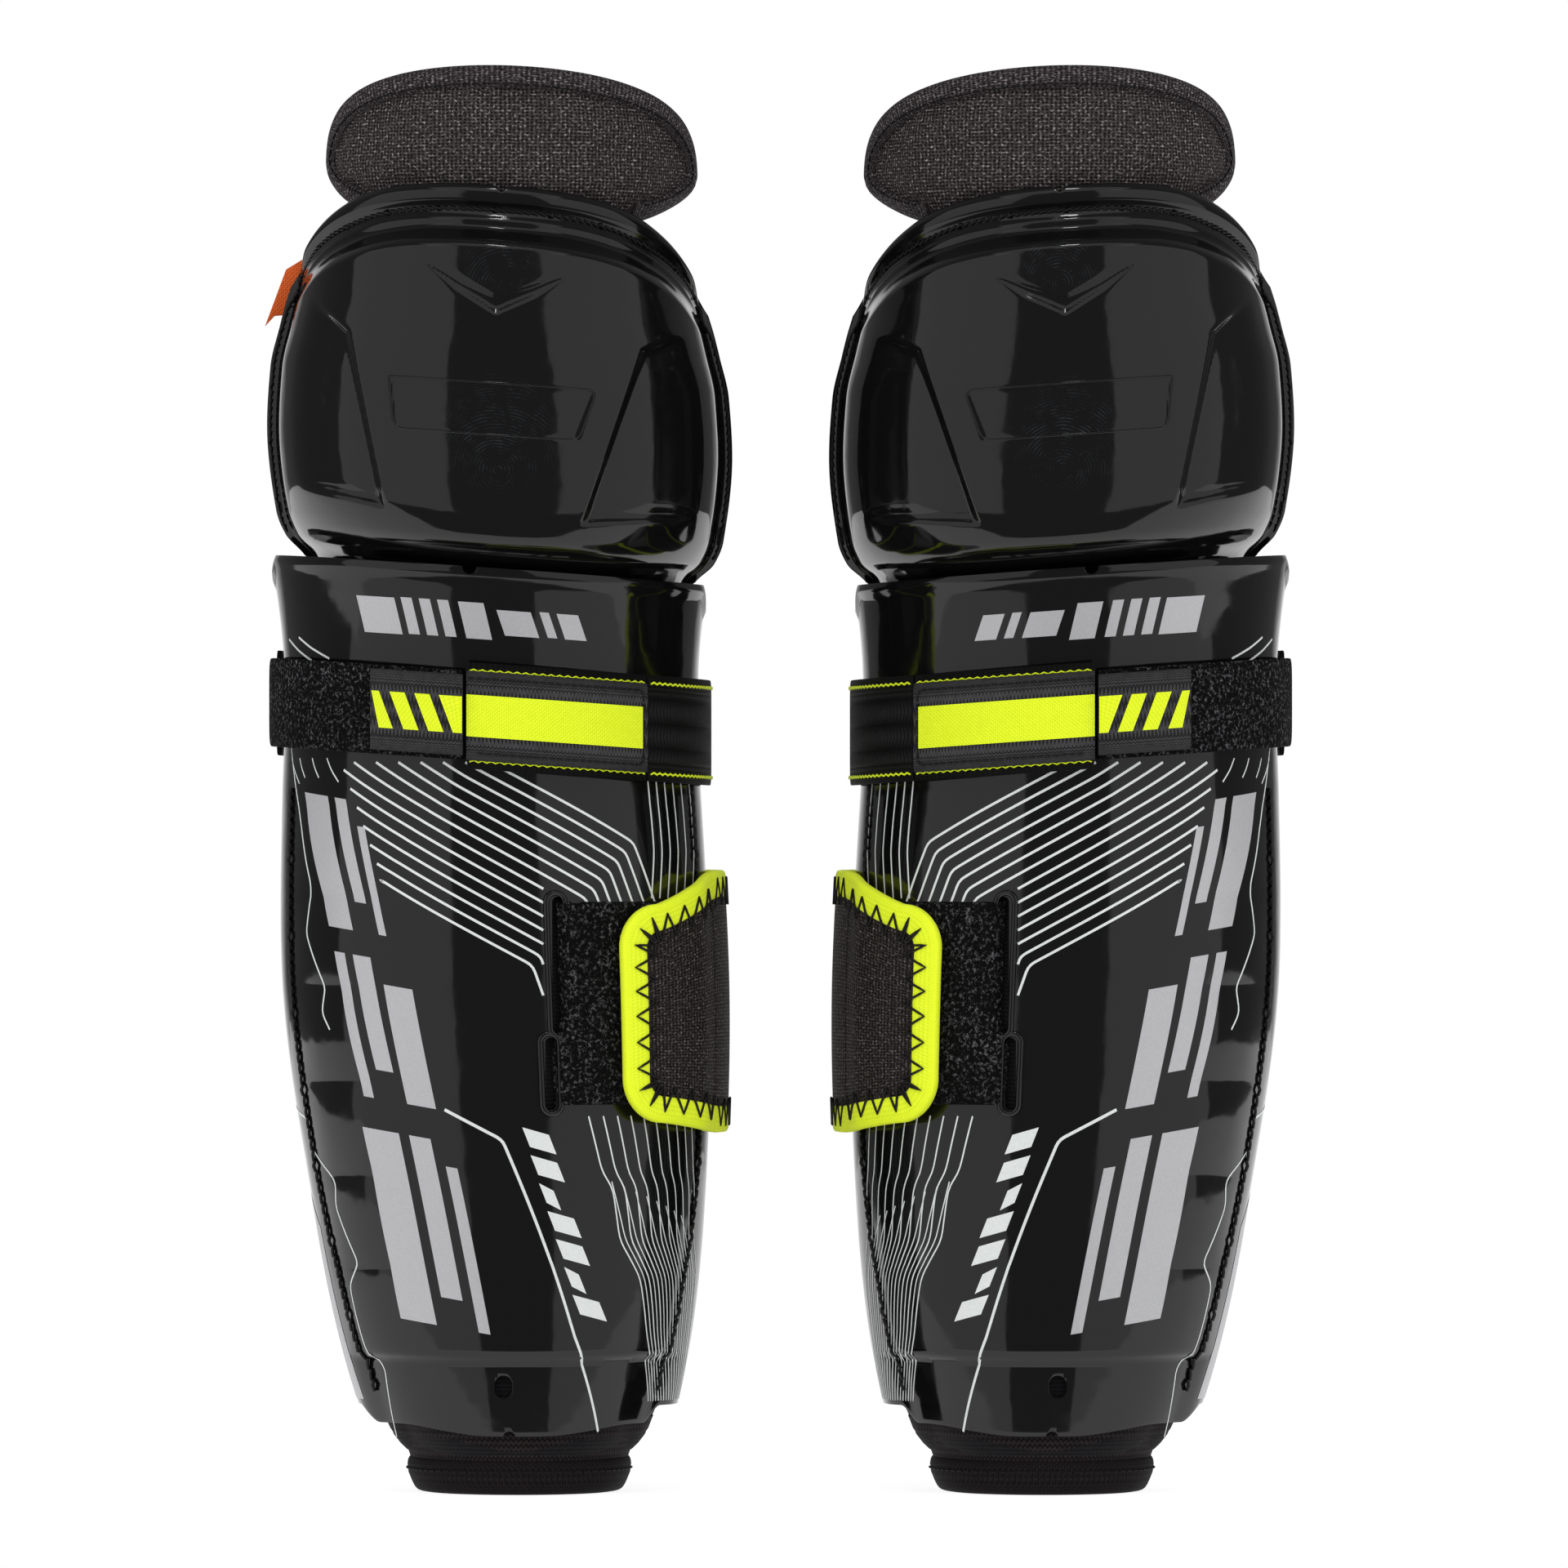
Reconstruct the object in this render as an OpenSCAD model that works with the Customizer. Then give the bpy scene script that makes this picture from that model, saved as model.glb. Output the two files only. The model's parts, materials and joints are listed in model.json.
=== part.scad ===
// A pair of youth hockey shin guards, standing upright on their ankle hems.
//
// One guard is modelled about its own leg axis: the front faces -Y and the inner side of the leg is +X.
// Its moulded shells, foam liners and fabric panels all follow a few curved surfaces. A point on one is
// given by a turn about the leg (0 at the front, positive towards the inner side), a height and how far
// it stands off the surface. The other guard is the mirror image.

/* [Pair] */
// Distance between the two leg axes
leg_spacing = 133; // [128:1:180]
// Running gap between neighbouring pieces
gap = 0.3; // [0.25:0.05:0.5]

/* [Shin shell] */
// Height of the shell from its hem to the middle of its top lip
shin_height = 203.5; // [180:0.5:240]
// Wall of the shell
shell_t = 2.2; // [1.6:0.1:2.6]
// Width across the hem at the ankle
hem_width = 71.6; // [66:0.2:76]
// Width across the low calf
low_calf_width = 91.8; // [86:0.2:98]
// Width across the calf, the widest place
calf_width = 101.8; // [98:0.2:110]
// Width across the waist under the lip
waist_width = 98.2; // [94:0.2:101]
// Width across the flared lip
lip_width = 103.4; // [101:0.2:110]
// How far the shin stands ahead of the leg axis
shin_front = 47; // [45:0.5:52]
// How far the waist stands ahead of the leg axis
waist_front = 48; // [46:0.5:54]
// How far the lip stands ahead of the leg axis
lip_front = 53; // [52:0.5:60]
// Depth of the curve at the hem
hem_depth = 37; // [35:0.5:42]
// Depth of the curve at the low calf
low_calf_depth = 42; // [40:0.5:46]
// How far the shell wraps round each side
shell_wrap = 88; // [80:1:90]
// Slant of the lip, the knee cap and the strap, lower towards the inner side
slant = 4; // [0:0.5:6]
// How far the shell leans inwards at the hem
hem_lean = 4.7; // [3:0.1:6]
// How far the shell leans inwards at the low calf
low_calf_lean = 2.4; // [1:0.1:3.5]
// How far the shell leans outwards at the calf
calf_lean = 1.1; // [0:0.1:2]
// How far the shell leans outwards from the waist up
waist_lean = 2.1; // [1:0.1:2.5]

/* [Shin shell details] */
// Height of the recessed hem band
ledge_height = 18; // [15:0.5:22]
// Depth of the recessed hem band
ledge_depth = 1.8; // [0:0.1:2.2]
// Spacing of the flex creases up the sides
crease_pitch = 21.7; // [18:0.1:26]
// How far the sides bulge between the creases
crease_bulge = 1; // [0:0.1:1.4]
// How far the hem rises beside its middle tongue
hem_step = 4; // [0:0.5:6]
// Bore for the liner rivet in the hem
hem_bore = 4.2; // [3:0.1:6]
// Height of that bore above the hem
hem_bore_height = 11.6; // [8:0.1:14]
// Width of the slots that the loop patch tucks into
slot_width = 2.6; // [2:0.1:4]
// Height of the upper slot
upper_slot = 32; // [24:1:36]
// Height of the lower slot
lower_slot = 17; // [12:1:20]

/* [Liner and ankle hem] */
// Thickness of the foam liners
liner_t = 6; // [4:0.5:8]
// Height of the stitched ankle hem
ankle_height = 8.6; // [6:0.1:12]
// Height of liner that shows between the ankle hem and the shell
liner_show = 5.4; // [3:0.1:8]
// Width across the ankle hem
ankle_width = 53; // [48:0.5:57]
// Depth of the ankle hem, front to back of its curve
ankle_depth = 31; // [29:0.5:32]
// Thickness of the ankle hem
ankle_t = 7; // [5:0.5:9]
// How far the liners wrap round each side
liner_wrap = 102; // [92:1:110]

/* [Knee cap] */
// Width across the cap
cap_width = 109.8; // [106:0.2:116]
// Width across the tail that sits inside the lip
tail_width = 84; // [78:0.5:88]
// Width across the top of the rim
cap_top_width = 96; // [92:0.5:100]
// Height of the rim above the widest level
cap_rise = 59; // [54:0.5:66]
// Depth of the tail below the widest level
cap_drop = 48; // [44:0.5:50]
// Height of the widest level above the lip
cap_level = 30.5; // [30:0.5:36]
// How far the dome stands ahead of the leg axis
dome_front = 64; // [60:0.5:70]
// How far the rim stands ahead of the leg axis
rim_front = 52.5; // [51:0.5:56]
// How far the tail stands ahead of the leg axis
tail_front = 44.5; // [42:0.5:45]
// Width of the flat rim above the dome
rim_width = 10.5; // [7:0.5:13]
// How far the rim flares out beside the dome
rim_flare = 3.5; // [1:0.5:5]
// Wall of the cap
cap_t = 2.4; // [2:0.1:3]
// Depth of the side facets and the chevron pressed into the dome
press_depth = 1; // [0.4:0.1:1.4]

/* [Knee padding] */
// Thickness of the knee cup pad
cup_pad_t = 5; // [3:0.5:7]
// Height of the knee cup pad
cup_pad_height = 44; // [36:1:50]
// How far the knee cup pad wraps round each side
cup_pad_wrap = 42; // [30:1:50]

/* [Thigh pad] */
// Width across the thigh pad
thigh_width = 88; // [82:0.5:90]
// Height of the thigh pad in its middle
thigh_height = 39.4; // [34:0.2:46]
// Thickness in the middle of the thigh pad
thigh_crown = 12; // [8:0.5:14]
// Thickness along the edges of the thigh pad
thigh_edge = 4; // [3:0.5:4.5]
// Width of the binding tape along its top
thigh_tape = 8; // [5:0.5:10]
// How far its foot tucks in behind the rim of the cap
thigh_tuck = 10; // [8:0.5:11]

/* [Calf wrap] */
// Height of the calf wrap
wrap_height = 62; // [54:0.5:66]
// Height of the wrap's free end
tab_end_height = 42; // [36:0.5:48]
// Height of the wrap's middle above the hem
wrap_level = 101.5; // [98:0.5:106]
// Turn of the free end from the front
tab_end_turn = 33; // [28:1:38]
// Turn of the fold where the tab peels
tab_fold_turn = 70; // [66:1:74]
// Thickness of the wrap
wrap_t = 2.2; // [1.6:0.1:3]
// How far the wrap stands behind the leg axis
wrap_back = 46; // [42:1:54]
// Width of the binding tape
tape_width = 5.5; // [4:0.5:7]
// How much thicker the binding is than the wrap on each face
tape_proud = 0.3; // [0.1:0.1:0.3]
// Thickness of hook and loop panels
hook_t = 1; // [0.8:0.1:1.5]
// Height of the loop patch
patch_height = 48; // [46:0.5:52]

/* [Strap] */
// Width of the elastic
elastic_width = 25; // [20:0.5:28]
// Thickness of the elastic
elastic_t = 1.4; // [1:0.1:2]
// Width of the fuzzy loop strap
loop_strap_width = 21; // [18:0.5:24]
// Thickness of the fuzzy loop strap
loop_strap_t = 2; // [1.5:0.1:2.5]
// Width of the woven pull tab
pull_tab_width = 19; // [16:0.5:22]
// Length of the woven pull tab across the front
pull_tab_length = 20; // [16:0.5:26]
// Length of the stitched badge across the front
badge_length = 41; // [34:0.5:44]
// Height of the strap's middle above the hem
strap_level = 168.5; // [164:0.5:176]
// How far the strap stands behind the leg axis
strap_back_depth = 50; // [46:1:58]

/* [Hidden] */

// ---- Heights ----
hem_z = ankle_height + liner_show;
lip_z = hem_z + shin_height;
ledge_z = hem_z + ledge_height;
low_calf_z = hem_z + 0.24 * shin_height;
calf_z = hem_z + 0.545 * shin_height;
lean_z = hem_z + 0.75 * shin_height;
waist_z = hem_z + 0.865 * shin_height;
cap_z = lip_z + cap_level;
cap_top_z = cap_z + cap_rise;
tail_z = cap_z - cap_drop;
thigh_foot_z = cap_top_z - thigh_tuck;
wrap_z = hem_z + wrap_level;
strap_z = hem_z + strap_level;
// The bulges end below the strap, at its lower side.
bulge_top_z = strap_z - elastic_width / 2 - calf_width / 2 * tan(slant);

// The pair is centred front to back between the dome and the elastic behind the calf.
centre_y = (dome_front - strap_back_depth - elastic_t) / 2;

// ---- Curves ----
function clamp01(t) = max(0, min(1, t));
function ease(t) = let (c = clamp01(t)) c * c * (3 - 2 * c);
function ramp(x, from, to) = ease((x - from) / (to - from));
function mix(a, b, t) = a + (b - a) * t;

// Slope of the knots between knot i and the next.
function rise(k, i) = (k[i + 1][1] - k[i][1]) / (k[i + 1][0] - k[i][0]);
// Slope at knot i, flat where the knots turn, so the curve never passes a knot's value.
function tangent(k, i) =
    i == 0 ? 1.5 * rise(k, 0) - 0.5 * inner_tangent(k, 1)
    : i == len(k) - 1 ? 1.5 * rise(k, i - 1) - 0.5 * inner_tangent(k, i - 1)
    : inner_tangent(k, i);
function inner_tangent(k, i) =
    i < 1 || i > len(k) - 2 ? rise(k, 0)
    : let (a = rise(k, i - 1), b = rise(k, i)) a * b <= 0 ? 0 : 2 * a * b / (a + b);
function span(k, x, i = 0) = i >= len(k) - 2 || x < k[i + 1][0] ? i : span(k, x, i + 1);
// Smooth curve through knots [x, value], level beyond both ends.
function through(x, k) =
    let (
        i = span(k, x),
        h = k[i + 1][0] - k[i][0],
        t = clamp01((x - k[i][0]) / h)
    )
    k[i][1] * (1 + 2 * t) * pow(1 - t, 2) + tangent(k, i) * h * t * pow(1 - t, 2)
        + k[i + 1][1] * t * t * (3 - 2 * t) - tangent(k, i + 1) * h * t * t * (1 - t);

// ---- Shin surface ----
liner_foot_pinch = 4.6;
shin_widths = [
    [ankle_height, hem_width / 2 - liner_foot_pinch],
    [hem_z, hem_width / 2],
    [low_calf_z, low_calf_width / 2],
    [calf_z, calf_width / 2],
    [waist_z, waist_width / 2],
    [lip_z, lip_width / 2]
];
shin_fronts = [[calf_z, shin_front], [waist_z, waist_front], [lip_z, lip_front]];
shin_depths = [
    [hem_z, hem_depth], [low_calf_z, low_calf_depth], [calf_z, shin_front],
    [waist_z, waist_front], [lip_z, lip_front]
];
shin_leans = [
    [hem_z, hem_lean], [low_calf_z, low_calf_lean], [calf_z, -calf_lean], [lean_z, -waist_lean]
];

// Weight of the recessed hem band, which fades out round the sides.
function ledge(a, z) =
    (1 - ramp(z, ledge_z - 2, ledge_z + 2)) * (1 - ramp(abs(a), 58, 76));
// Share of the bulge on the inner side of the leg, where the loop patch lies.
inner_bulge = 0.4;
// Bulge between the flex creases, strongest on the outer side of the leg.
function bulge(a, z) =
    let (
        turn = (z - ledge_z) / crease_pitch,
        f = turn - floor(turn),
        side = ramp(abs(a), 32, 56) * (a < 0 ? 1 : inner_bulge)
    )
    side * ramp(z, ledge_z, ledge_z + 4) * (1 - ramp(z, bulge_top_z - 8, bulge_top_z))
        * (1 - pow(2 * f - 1, 4));

// A point on the shin at turn a and height z, standing off by off.
// Behind the leg axis the surface goes back by its own depth.
function shin_point(a, z, off = 0, back = 0) =
    let (
        w = through(z, shin_widths) + off,
        d = through(z, shin_depths),
        reach = cos(a) >= 0 ? d + off : (back > 0 ? back + off : d + off)
    )
    [
        through(z, shin_leans) + w * sin(a),
        d - through(z, shin_fronts) - reach * cos(a),
        z
    ];

// ---- Grids and solids ----
// Closed solid between two grids of points with the same rows and columns.
module between(outer, inner) {
    rows = len(outer);
    cols = len(outer[0]);
    back = rows * cols;
    function at(r, c) = r * cols + c;
    function pair_of(p, q, r, s) = [[p, q, r], [p, r, s]];
    faces = [
        for (r = [0:rows - 2], c = [0:cols - 2])
            each concat(
                pair_of(at(r, c), at(r + 1, c), at(r + 1, c + 1), at(r, c + 1)),
                pair_of(
                    back + at(r, c), back + at(r, c + 1),
                    back + at(r + 1, c + 1), back + at(r + 1, c)
                )
            ),
        for (c = [0:cols - 2])
            each concat(
                pair_of(at(0, c), at(0, c + 1), back + at(0, c + 1), back + at(0, c)),
                pair_of(
                    at(rows - 1, c + 1), at(rows - 1, c),
                    back + at(rows - 1, c), back + at(rows - 1, c + 1)
                )
            ),
        for (r = [0:rows - 2])
            each concat(
                pair_of(at(r + 1, 0), at(r, 0), back + at(r, 0), back + at(r + 1, 0)),
                pair_of(
                    at(r, cols - 1), at(r + 1, cols - 1),
                    back + at(r + 1, cols - 1), back + at(r, cols - 1)
                )
            )
    ];
    polyhedron([for (row = outer) each row, for (row = inner) each row], faces, convexity = 8);
}

// Even steps from one value to another.
function steps(from, to, n) = [for (i = [0:n]) mix(from, to, i / n)];

module left() {
    translate([-leg_spacing / 2, centre_y, 0]) children();
}

module right() {
    mirror([1, 0, 0]) left() children();
}

// ---- Shin shell ----
shell_turns = let (half = [0, 9, 18, 27, 36, 44, 52, 60, 68, 75, 82])
    concat(
        [-shell_wrap],
        [for (i = [len(half) - 1:-1:1]) if (half[i] < shell_wrap - 2) -half[i]],
        [for (a = half) if (a < shell_wrap - 2) a],
        [shell_wrap]
    );
shell_levels = concat(
    [hem_z, hem_z + 5, hem_z + 11, ledge_z - 2, ledge_z, ledge_z + 2],
    [
        for (
            n = [0:ceil((bulge_top_z - ledge_z) / crease_pitch) - 1],
            f = [0.3, 0.7, 1]
        ) if (ledge_z + (n + f) * crease_pitch < bulge_top_z - 3) ledge_z + (n + f) * crease_pitch
    ],
    [
        bulge_top_z, mix(bulge_top_z, waist_z, 0.5), waist_z,
        mix(waist_z, lip_z, 0.25), mix(waist_z, lip_z, 0.5), mix(waist_z, lip_z, 0.75), lip_z
    ]
);

// How far the hem stands above its lowest level: a middle tongue, then a step up to the sides.
function hem_lift(a) = 2.5 * ramp(abs(a), 10, 52) + hem_step * ramp(abs(a), 58, 66);
// How far the lip stands above its middle level: slanted, with its corners cut away.
function lip_lift(a) = -lip_width / 2 * sin(a) * tan(slant) - 5 * ramp(abs(a), shell_wrap - 10, shell_wrap);
// Height on the shell at turn a for a nominal level.
function shell_z(a, level) =
    level + hem_lift(a) * (1 - ramp(level, hem_z, ledge_z + 4))
        + lip_lift(a) * ramp(level, waist_z - 8, lip_z);

// Outline of an upright slot with round ends.
module slot_cut(height) {
    depth = 12;
    for (end = [-1, 1])
        translate([0, 0, end * (height - slot_width) / 2])
            rotate([90, 0, 0]) cylinder(d = slot_width, h = depth, center = true, $fn = 24);
    cube([slot_width, depth, height - slot_width], center = true);
}

slot_turn = 17.5;
slot_step = 3;
slot_over = 1;
upper_slot_z = wrap_z + patch_height / 2 + slot_over - upper_slot / 2;
lower_slot_z = wrap_z - patch_height / 2 - slot_over + lower_slot / 2;
bore_turn = -4;
bore_z = hem_z + hem_bore_height;

// Place children on the shin at turn a and height z, with -y pointing out of it.
module on_shin(a, z) {
    translate(shin_point(a, z)) rotate([0, 0, a]) children();
}

module shin_shell() {
    function outside(a, level) =
        let (z = shell_z(a, level))
        shin_point(a, z, crease_bulge * bulge(a, level) - ledge_depth * ledge(a, level));
    function inside(a, level) =
        let (z = shell_z(a, level)) shin_point(a, z, -shell_t - ledge_depth * ledge(a, level));
    color("#17181a")
        difference() {
            between(
                [for (level = shell_levels) [for (a = shell_turns) outside(a, level)]],
                [for (level = shell_levels) [for (a = shell_turns) inside(a, level)]]
            );
            on_shin(bore_turn, bore_z)
                rotate([90, 0, 0]) cylinder(d = hem_bore, h = 16, center = true, $fn = 32);
            on_shin(slot_turn, upper_slot_z) slot_cut(upper_slot);
            on_shin(slot_turn - slot_step, lower_slot_z) slot_cut(lower_slot);
        }
}

// ---- Foam liner of the shin ----
liner_off = -shell_t - 1.5 * gap;
liner_top_z = tail_z - 1.5;
hinge_y = -12;
hinge_z = lip_z - 1.5;
knee_tilt = 20;

// As the knee bends, the foot of the knee liner swings forward below the hinge line and comes down
// behind it, so the top of this liner dips there.
function liner_dip(a) =
    let (
        swing = (hinge_z - liner_top_z) * sin(knee_tilt),
        y = shin_point(a, liner_top_z, liner_off)[1]
    )
    1.2 * tan(knee_tilt) * max(0, y - hinge_y + swing);

// How far the liner's foot draws in at both sides, towards the ankle hem.
liner_pinch = 3;
module shin_liner() {
    turns = steps(-liner_wrap, liner_wrap, 16);
    function pinch(a, level) = liner_pinch * (1 - ramp(level, hem_z, ledge_z)) * ramp(abs(a), 30, 75);
    levels = concat(
        [ankle_height + gap, hem_z, hem_z + 9, ledge_z - 2, ledge_z, ledge_z + 2],
        [low_calf_z, mix(low_calf_z, calf_z, 0.5), calf_z, mix(calf_z, waist_z, 0.5)],
        [waist_z - 6, liner_top_z]
    );
    function height(a, level) = level - liner_dip(a) * ramp(level, waist_z - 20, liner_top_z);
    function grid(off) = [
        for (level = levels) [
            for (a = turns)
                shin_point(a, height(a, level), off - ledge_depth * ledge(a, level) - pinch(a, level))
        ]
    ];
    color("#1c1b1d") between(grid(liner_off), grid(liner_off - liner_t));
}

// ---- Ankle hem: the stitched foot of the liner, which the guard stands on ----
module ankle_hem() {
    front = shin_front - shell_t - gap - ledge_depth;
    turns = steps(-liner_wrap, liner_wrap, 20);
    function hem_point(a, inset) = [
        hem_lean + (ankle_width / 2 - inset) * sin(a),
        ankle_depth - front - (ankle_depth - inset) * cos(a)
    ];
    color("#201c1d")
        linear_extrude(ankle_height)
            polygon([
                for (a = turns) hem_point(a, 0),
                for (i = [len(turns) - 1:-1:0]) hem_point(turns[i], ankle_t)
            ]);
}

// ---- Loop patch on the inner side of the shell ----
patch_t = 1.2;
patch_in = inner_bulge * crease_bulge + gap;
patch_out = patch_in + patch_t;
patch_turns = steps(slot_turn + 4, tab_fold_turn - 3, 6);

module loop_patch() {
    levels = steps(wrap_z - patch_height / 2, wrap_z + patch_height / 2, 5);
    function grid(off) = [for (z = levels) [for (a = patch_turns) shin_point(a, z, off)]];
    color("#1f1d1b") between(grid(patch_out), grid(patch_in));
}

// ---- Knee cap ----
// How far the top of the rim leans back.
rim_set_back = 2;
cap_widths = [
    [tail_z, tail_width / 2],
    [lip_z - 1.5, tail_width / 2 + 3.5],
    [lip_z + 8.5, cap_width / 2 - 4],
    [cap_z, cap_width / 2],
    [cap_z + 0.4 * cap_rise, cap_top_width / 2 + 3.3],
    [cap_top_z, cap_top_width / 2]
];
dome_fronts = [
    [tail_z, tail_front],
    [lip_z - 5.5, tail_front + 1.5],
    [lip_z + 2, tail_front + 6.5],
    [lip_z + 8.5, dome_front - 6],
    [cap_z + 2, dome_front],
    [cap_z + 0.61 * cap_rise, dome_front - 4.5],
    [cap_top_z, dome_front - 10]
];
rim_fronts = [
    [tail_z, tail_front],
    [lip_z + 8.5, mix(tail_front, rim_front, 0.7)],
    [cap_z, rim_front],
    [cap_top_z, rim_front - rim_set_back]
];

// Upper edge of the rim: low at the sides, round over the top.
function cap_top(a) = cap_top_z - 0.44 * cap_rise * pow(abs(a) / shell_wrap, 2.7);
// Lower edge of the tail: down inside the lip, and clear above it at the sides.
function cap_foot(a) = tail_z + (lip_z + 2.5 - tail_z) * pow(abs(a) / shell_wrap, 2);
// Weight of the dome: none on the rim, full inside it.
function dome(a, z) =
    let (m = mix(rim_width, 3, ramp(abs(a), 35, 75)))
    ramp(cap_top(a) - z, 0.7 * m, 1.25 * m) * (1 - ramp(abs(a), 74, 83));

// A point on the cap at turn a and level z, before the slant.
function cap_flat(a, z, off) =
    let (
        w = through(z, cap_widths),
        d = mix(through(z, rim_fronts), through(z, dome_fronts), dome(a, z)),
        square = mix(1, 0.8, ramp(z, lip_z, lip_z + 18)),
        side = a < 0 ? -1 : 1
    )
    [
        (w - rim_flare + off) * sin(a) + side * rim_flare * ramp(abs(a), 72, 86),
        -(d + off) * pow(abs(cos(a)), square) * sign(cos(a)),
        z
    ];
function slanted(p) = [p[0], p[1], p[2] - p[0] * tan(slant)];
function cap_point(a, z, off = 0) = slanted(cap_flat(a, z, off));

cap_turns = let (half = [0, 7, 14, 21, 28, 35, 42, 49, 56, 63, 70, 76, 82])
    concat(
        [-shell_wrap],
        [for (i = [len(half) - 1:-1:1]) if (half[i] < shell_wrap - 2) -half[i]],
        [for (a = half) if (a < shell_wrap - 2) a],
        [shell_wrap]
    );

cap_shares = [0, 0.1, 0.18, 0.26, 0.34, 0.43, 0.52, 0.61, 0.7, 0.78, 0.84, 0.89, 0.93, 0.96, 1];
// Grid over the whole cap, standing off by off in its middle and by side_off round its sides.
function cap_grid(off, side_off) = [
    for (t = cap_shares) [
        for (a = cap_turns)
            cap_point(a, mix(cap_foot(a), cap_top(a), t), mix(off, side_off, ramp(abs(a), 50, 66)))
    ]
];

// Corners of the side facets and the chevron, across and up from the middle of the cap.
outer_facet = [[-60, 44], [-35, 22.2], [-26.5, -17.8], [-60, -12.7]];
inner_facet = [[60, 34], [34.6, 22.7], [20.6, -18.7], [60, -14.5]];
chevron = [[-16.5, 39.6], [0, 32.1], [16.5, 39.6], [9, 33.6], [0, 29], [-9, 33.6]];

// The outlines that are pressed into the dome, which fade out before its sides.
module pressings() {
    clear = 0.5;
    above = 4;
    intersection() {
        translate([0, 0, cap_z])
            rotate([90, slant, 0])
                linear_extrude(dome_front + 2 * above)
                    for (outline = [outer_facet, inner_facet, chevron]) polygon(outline);
        between(cap_grid(above, above), cap_grid(-press_depth, clear));
    }
}

module knee_cap() {
    color("#0f1012")
        difference() {
            between(cap_grid(0, 0), cap_grid(-cap_t, -cap_t));
            pressings();
        }
}

// ---- Foam inside the knee cap ----
knee_liner_off = -cap_t - gap - 0.1;
knee_liner_wrap = 90;

// A point on the knee liner, which bridges the sharp bends of the cap: it keeps to the least
// width and depth of the cap within one bridge above and below.
bridge = 11;
bridge_levels = [-1, -0.5, 0, 0.5, 1] * bridge;
function knee_point(a, z, off) =
    let (near = [for (dz = bridge_levels) cap_flat(a, z + dz, off)])
    let (x = min([for (p = near) abs(p[0])]) * (a < 0 ? -1 : 1))
    slanted([x, (abs(a) > 90 ? -1 : 1) * -min([for (p = near) abs(p[1])]), z]);

// Level of the knee liner's foot, which lies level above the shin liner once the cap is slanted.
function knee_liner_foot(a) =
    liner_top_z + 3 * gap + cap_flat(a, tail_z, knee_liner_off)[0] * tan(slant);

module knee_liner() {
    turns = steps(-knee_liner_wrap, knee_liner_wrap, 12);
    // It stays below the foot of the thigh pad, and lower at its sides, where the pad folds back.
    function top(a) = min(cap_top(a) - 4, thigh_foot_z - 4 - 6 * ramp(abs(a), 15, 50));
    function grid(off) = [
        for (t = steps(0, 1, 9)) [
            for (a = turns) knee_point(a, mix(knee_liner_foot(a), top(a), t), off)
        ]
    ];
    color("#1c1b1d") between(grid(knee_liner_off), grid(knee_liner_off - liner_t));
}

module knee_cup_pad() {
    turns = steps(-cup_pad_wrap, cup_pad_wrap, 8);
    levels = steps(cap_z - cup_pad_height / 2, cap_z + cup_pad_height / 2, 6);
    near = knee_liner_off - liner_t - 5 * gap;
    function grid(off) = [for (z = levels) [for (a = turns) knee_point(a, z, off)]];
    color("#2a292b") between(grid(near), grid(near - cup_pad_t));
}

// ---- Thigh pad ----
thigh_wrap = 76;
thigh_lean = 1.5;
thigh_front = rim_front - rim_set_back - cap_t - 2 * gap;
thigh_side = thigh_width / 2 / sin(thigh_wrap);
// How far its foot draws in on each side to pass inside the rim.
thigh_draw = 5;

function thigh_top(a) =
    thigh_foot_z + 0.38 * thigh_height
        + 0.62 * thigh_height * pow(max(0, 1 - pow(abs(a) / thigh_wrap, 2)), 0.45);
function thigh_foot(a) = thigh_foot_z + 13 * pow(abs(a) / thigh_wrap, 4);
// The pad is a cushion: thick in its middle, thin along its edges.
function thigh_thick(a, z) =
    let (
        t = (z - thigh_foot(a)) / max(1, thigh_top(a) - thigh_foot(a)),
        up = pow(max(0, 4 * t * (1 - t)), 0.5),
        round = pow(max(0, 1 - pow(a / thigh_wrap, 2)), 0.5)
    )
    mix(thigh_edge, thigh_crown, up * round);
function thigh_point(a, z, off) =
    let (w = thigh_side - thigh_draw * (1 - ramp(z, thigh_foot_z, thigh_foot_z + 14)))
    let (x = thigh_lean + (w + off) * sin(a))
    [x, -(thigh_front + off) * cos(a), z - x * tan(slant / 2)];

module thigh_pad() {
    turns = steps(-thigh_wrap, thigh_wrap, 12);
    shares = [0, 0.25, 0.5, 0.75, 1];
    function top(a) = thigh_top(a) - thigh_tape - 2 * gap;
    function level(a, t) = mix(thigh_foot(a), max(top(a), thigh_foot(a) + 1), t);
    function grid(inner) = [
        for (t = shares) [
            for (a = turns)
                let (z = level(a, t)) thigh_point(a, z, inner * -thigh_thick(a, z))
        ]
    ];
    color("#3a3436") between(grid(0), grid(1));
}

module thigh_binding() {
    turns = steps(-thigh_wrap, thigh_wrap, 12);
    function grid(off) = [
        for (t = [0, 1]) [
            for (a = turns)
                thigh_point(a, mix(max(thigh_top(a) - thigh_tape, thigh_foot(a) + 1.4), thigh_top(a), t), off)
        ]
    ];
    color("#443d3f") between(grid(0.2), grid(-thigh_edge - 0.4));
}

// ---- Calf wrap: an anchor on the liner, a wing behind the calf and a tab that closes on the patch ----
anchor_turns = [360 - liner_wrap - 2, 360 - shell_wrap - 4];
tab_corner = 11;
turn_mm = calf_width / 2 * PI / 180;
hook_start = tab_end_turn + (tape_width + 2) / turn_mm;
hook_turn = 17;

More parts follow.
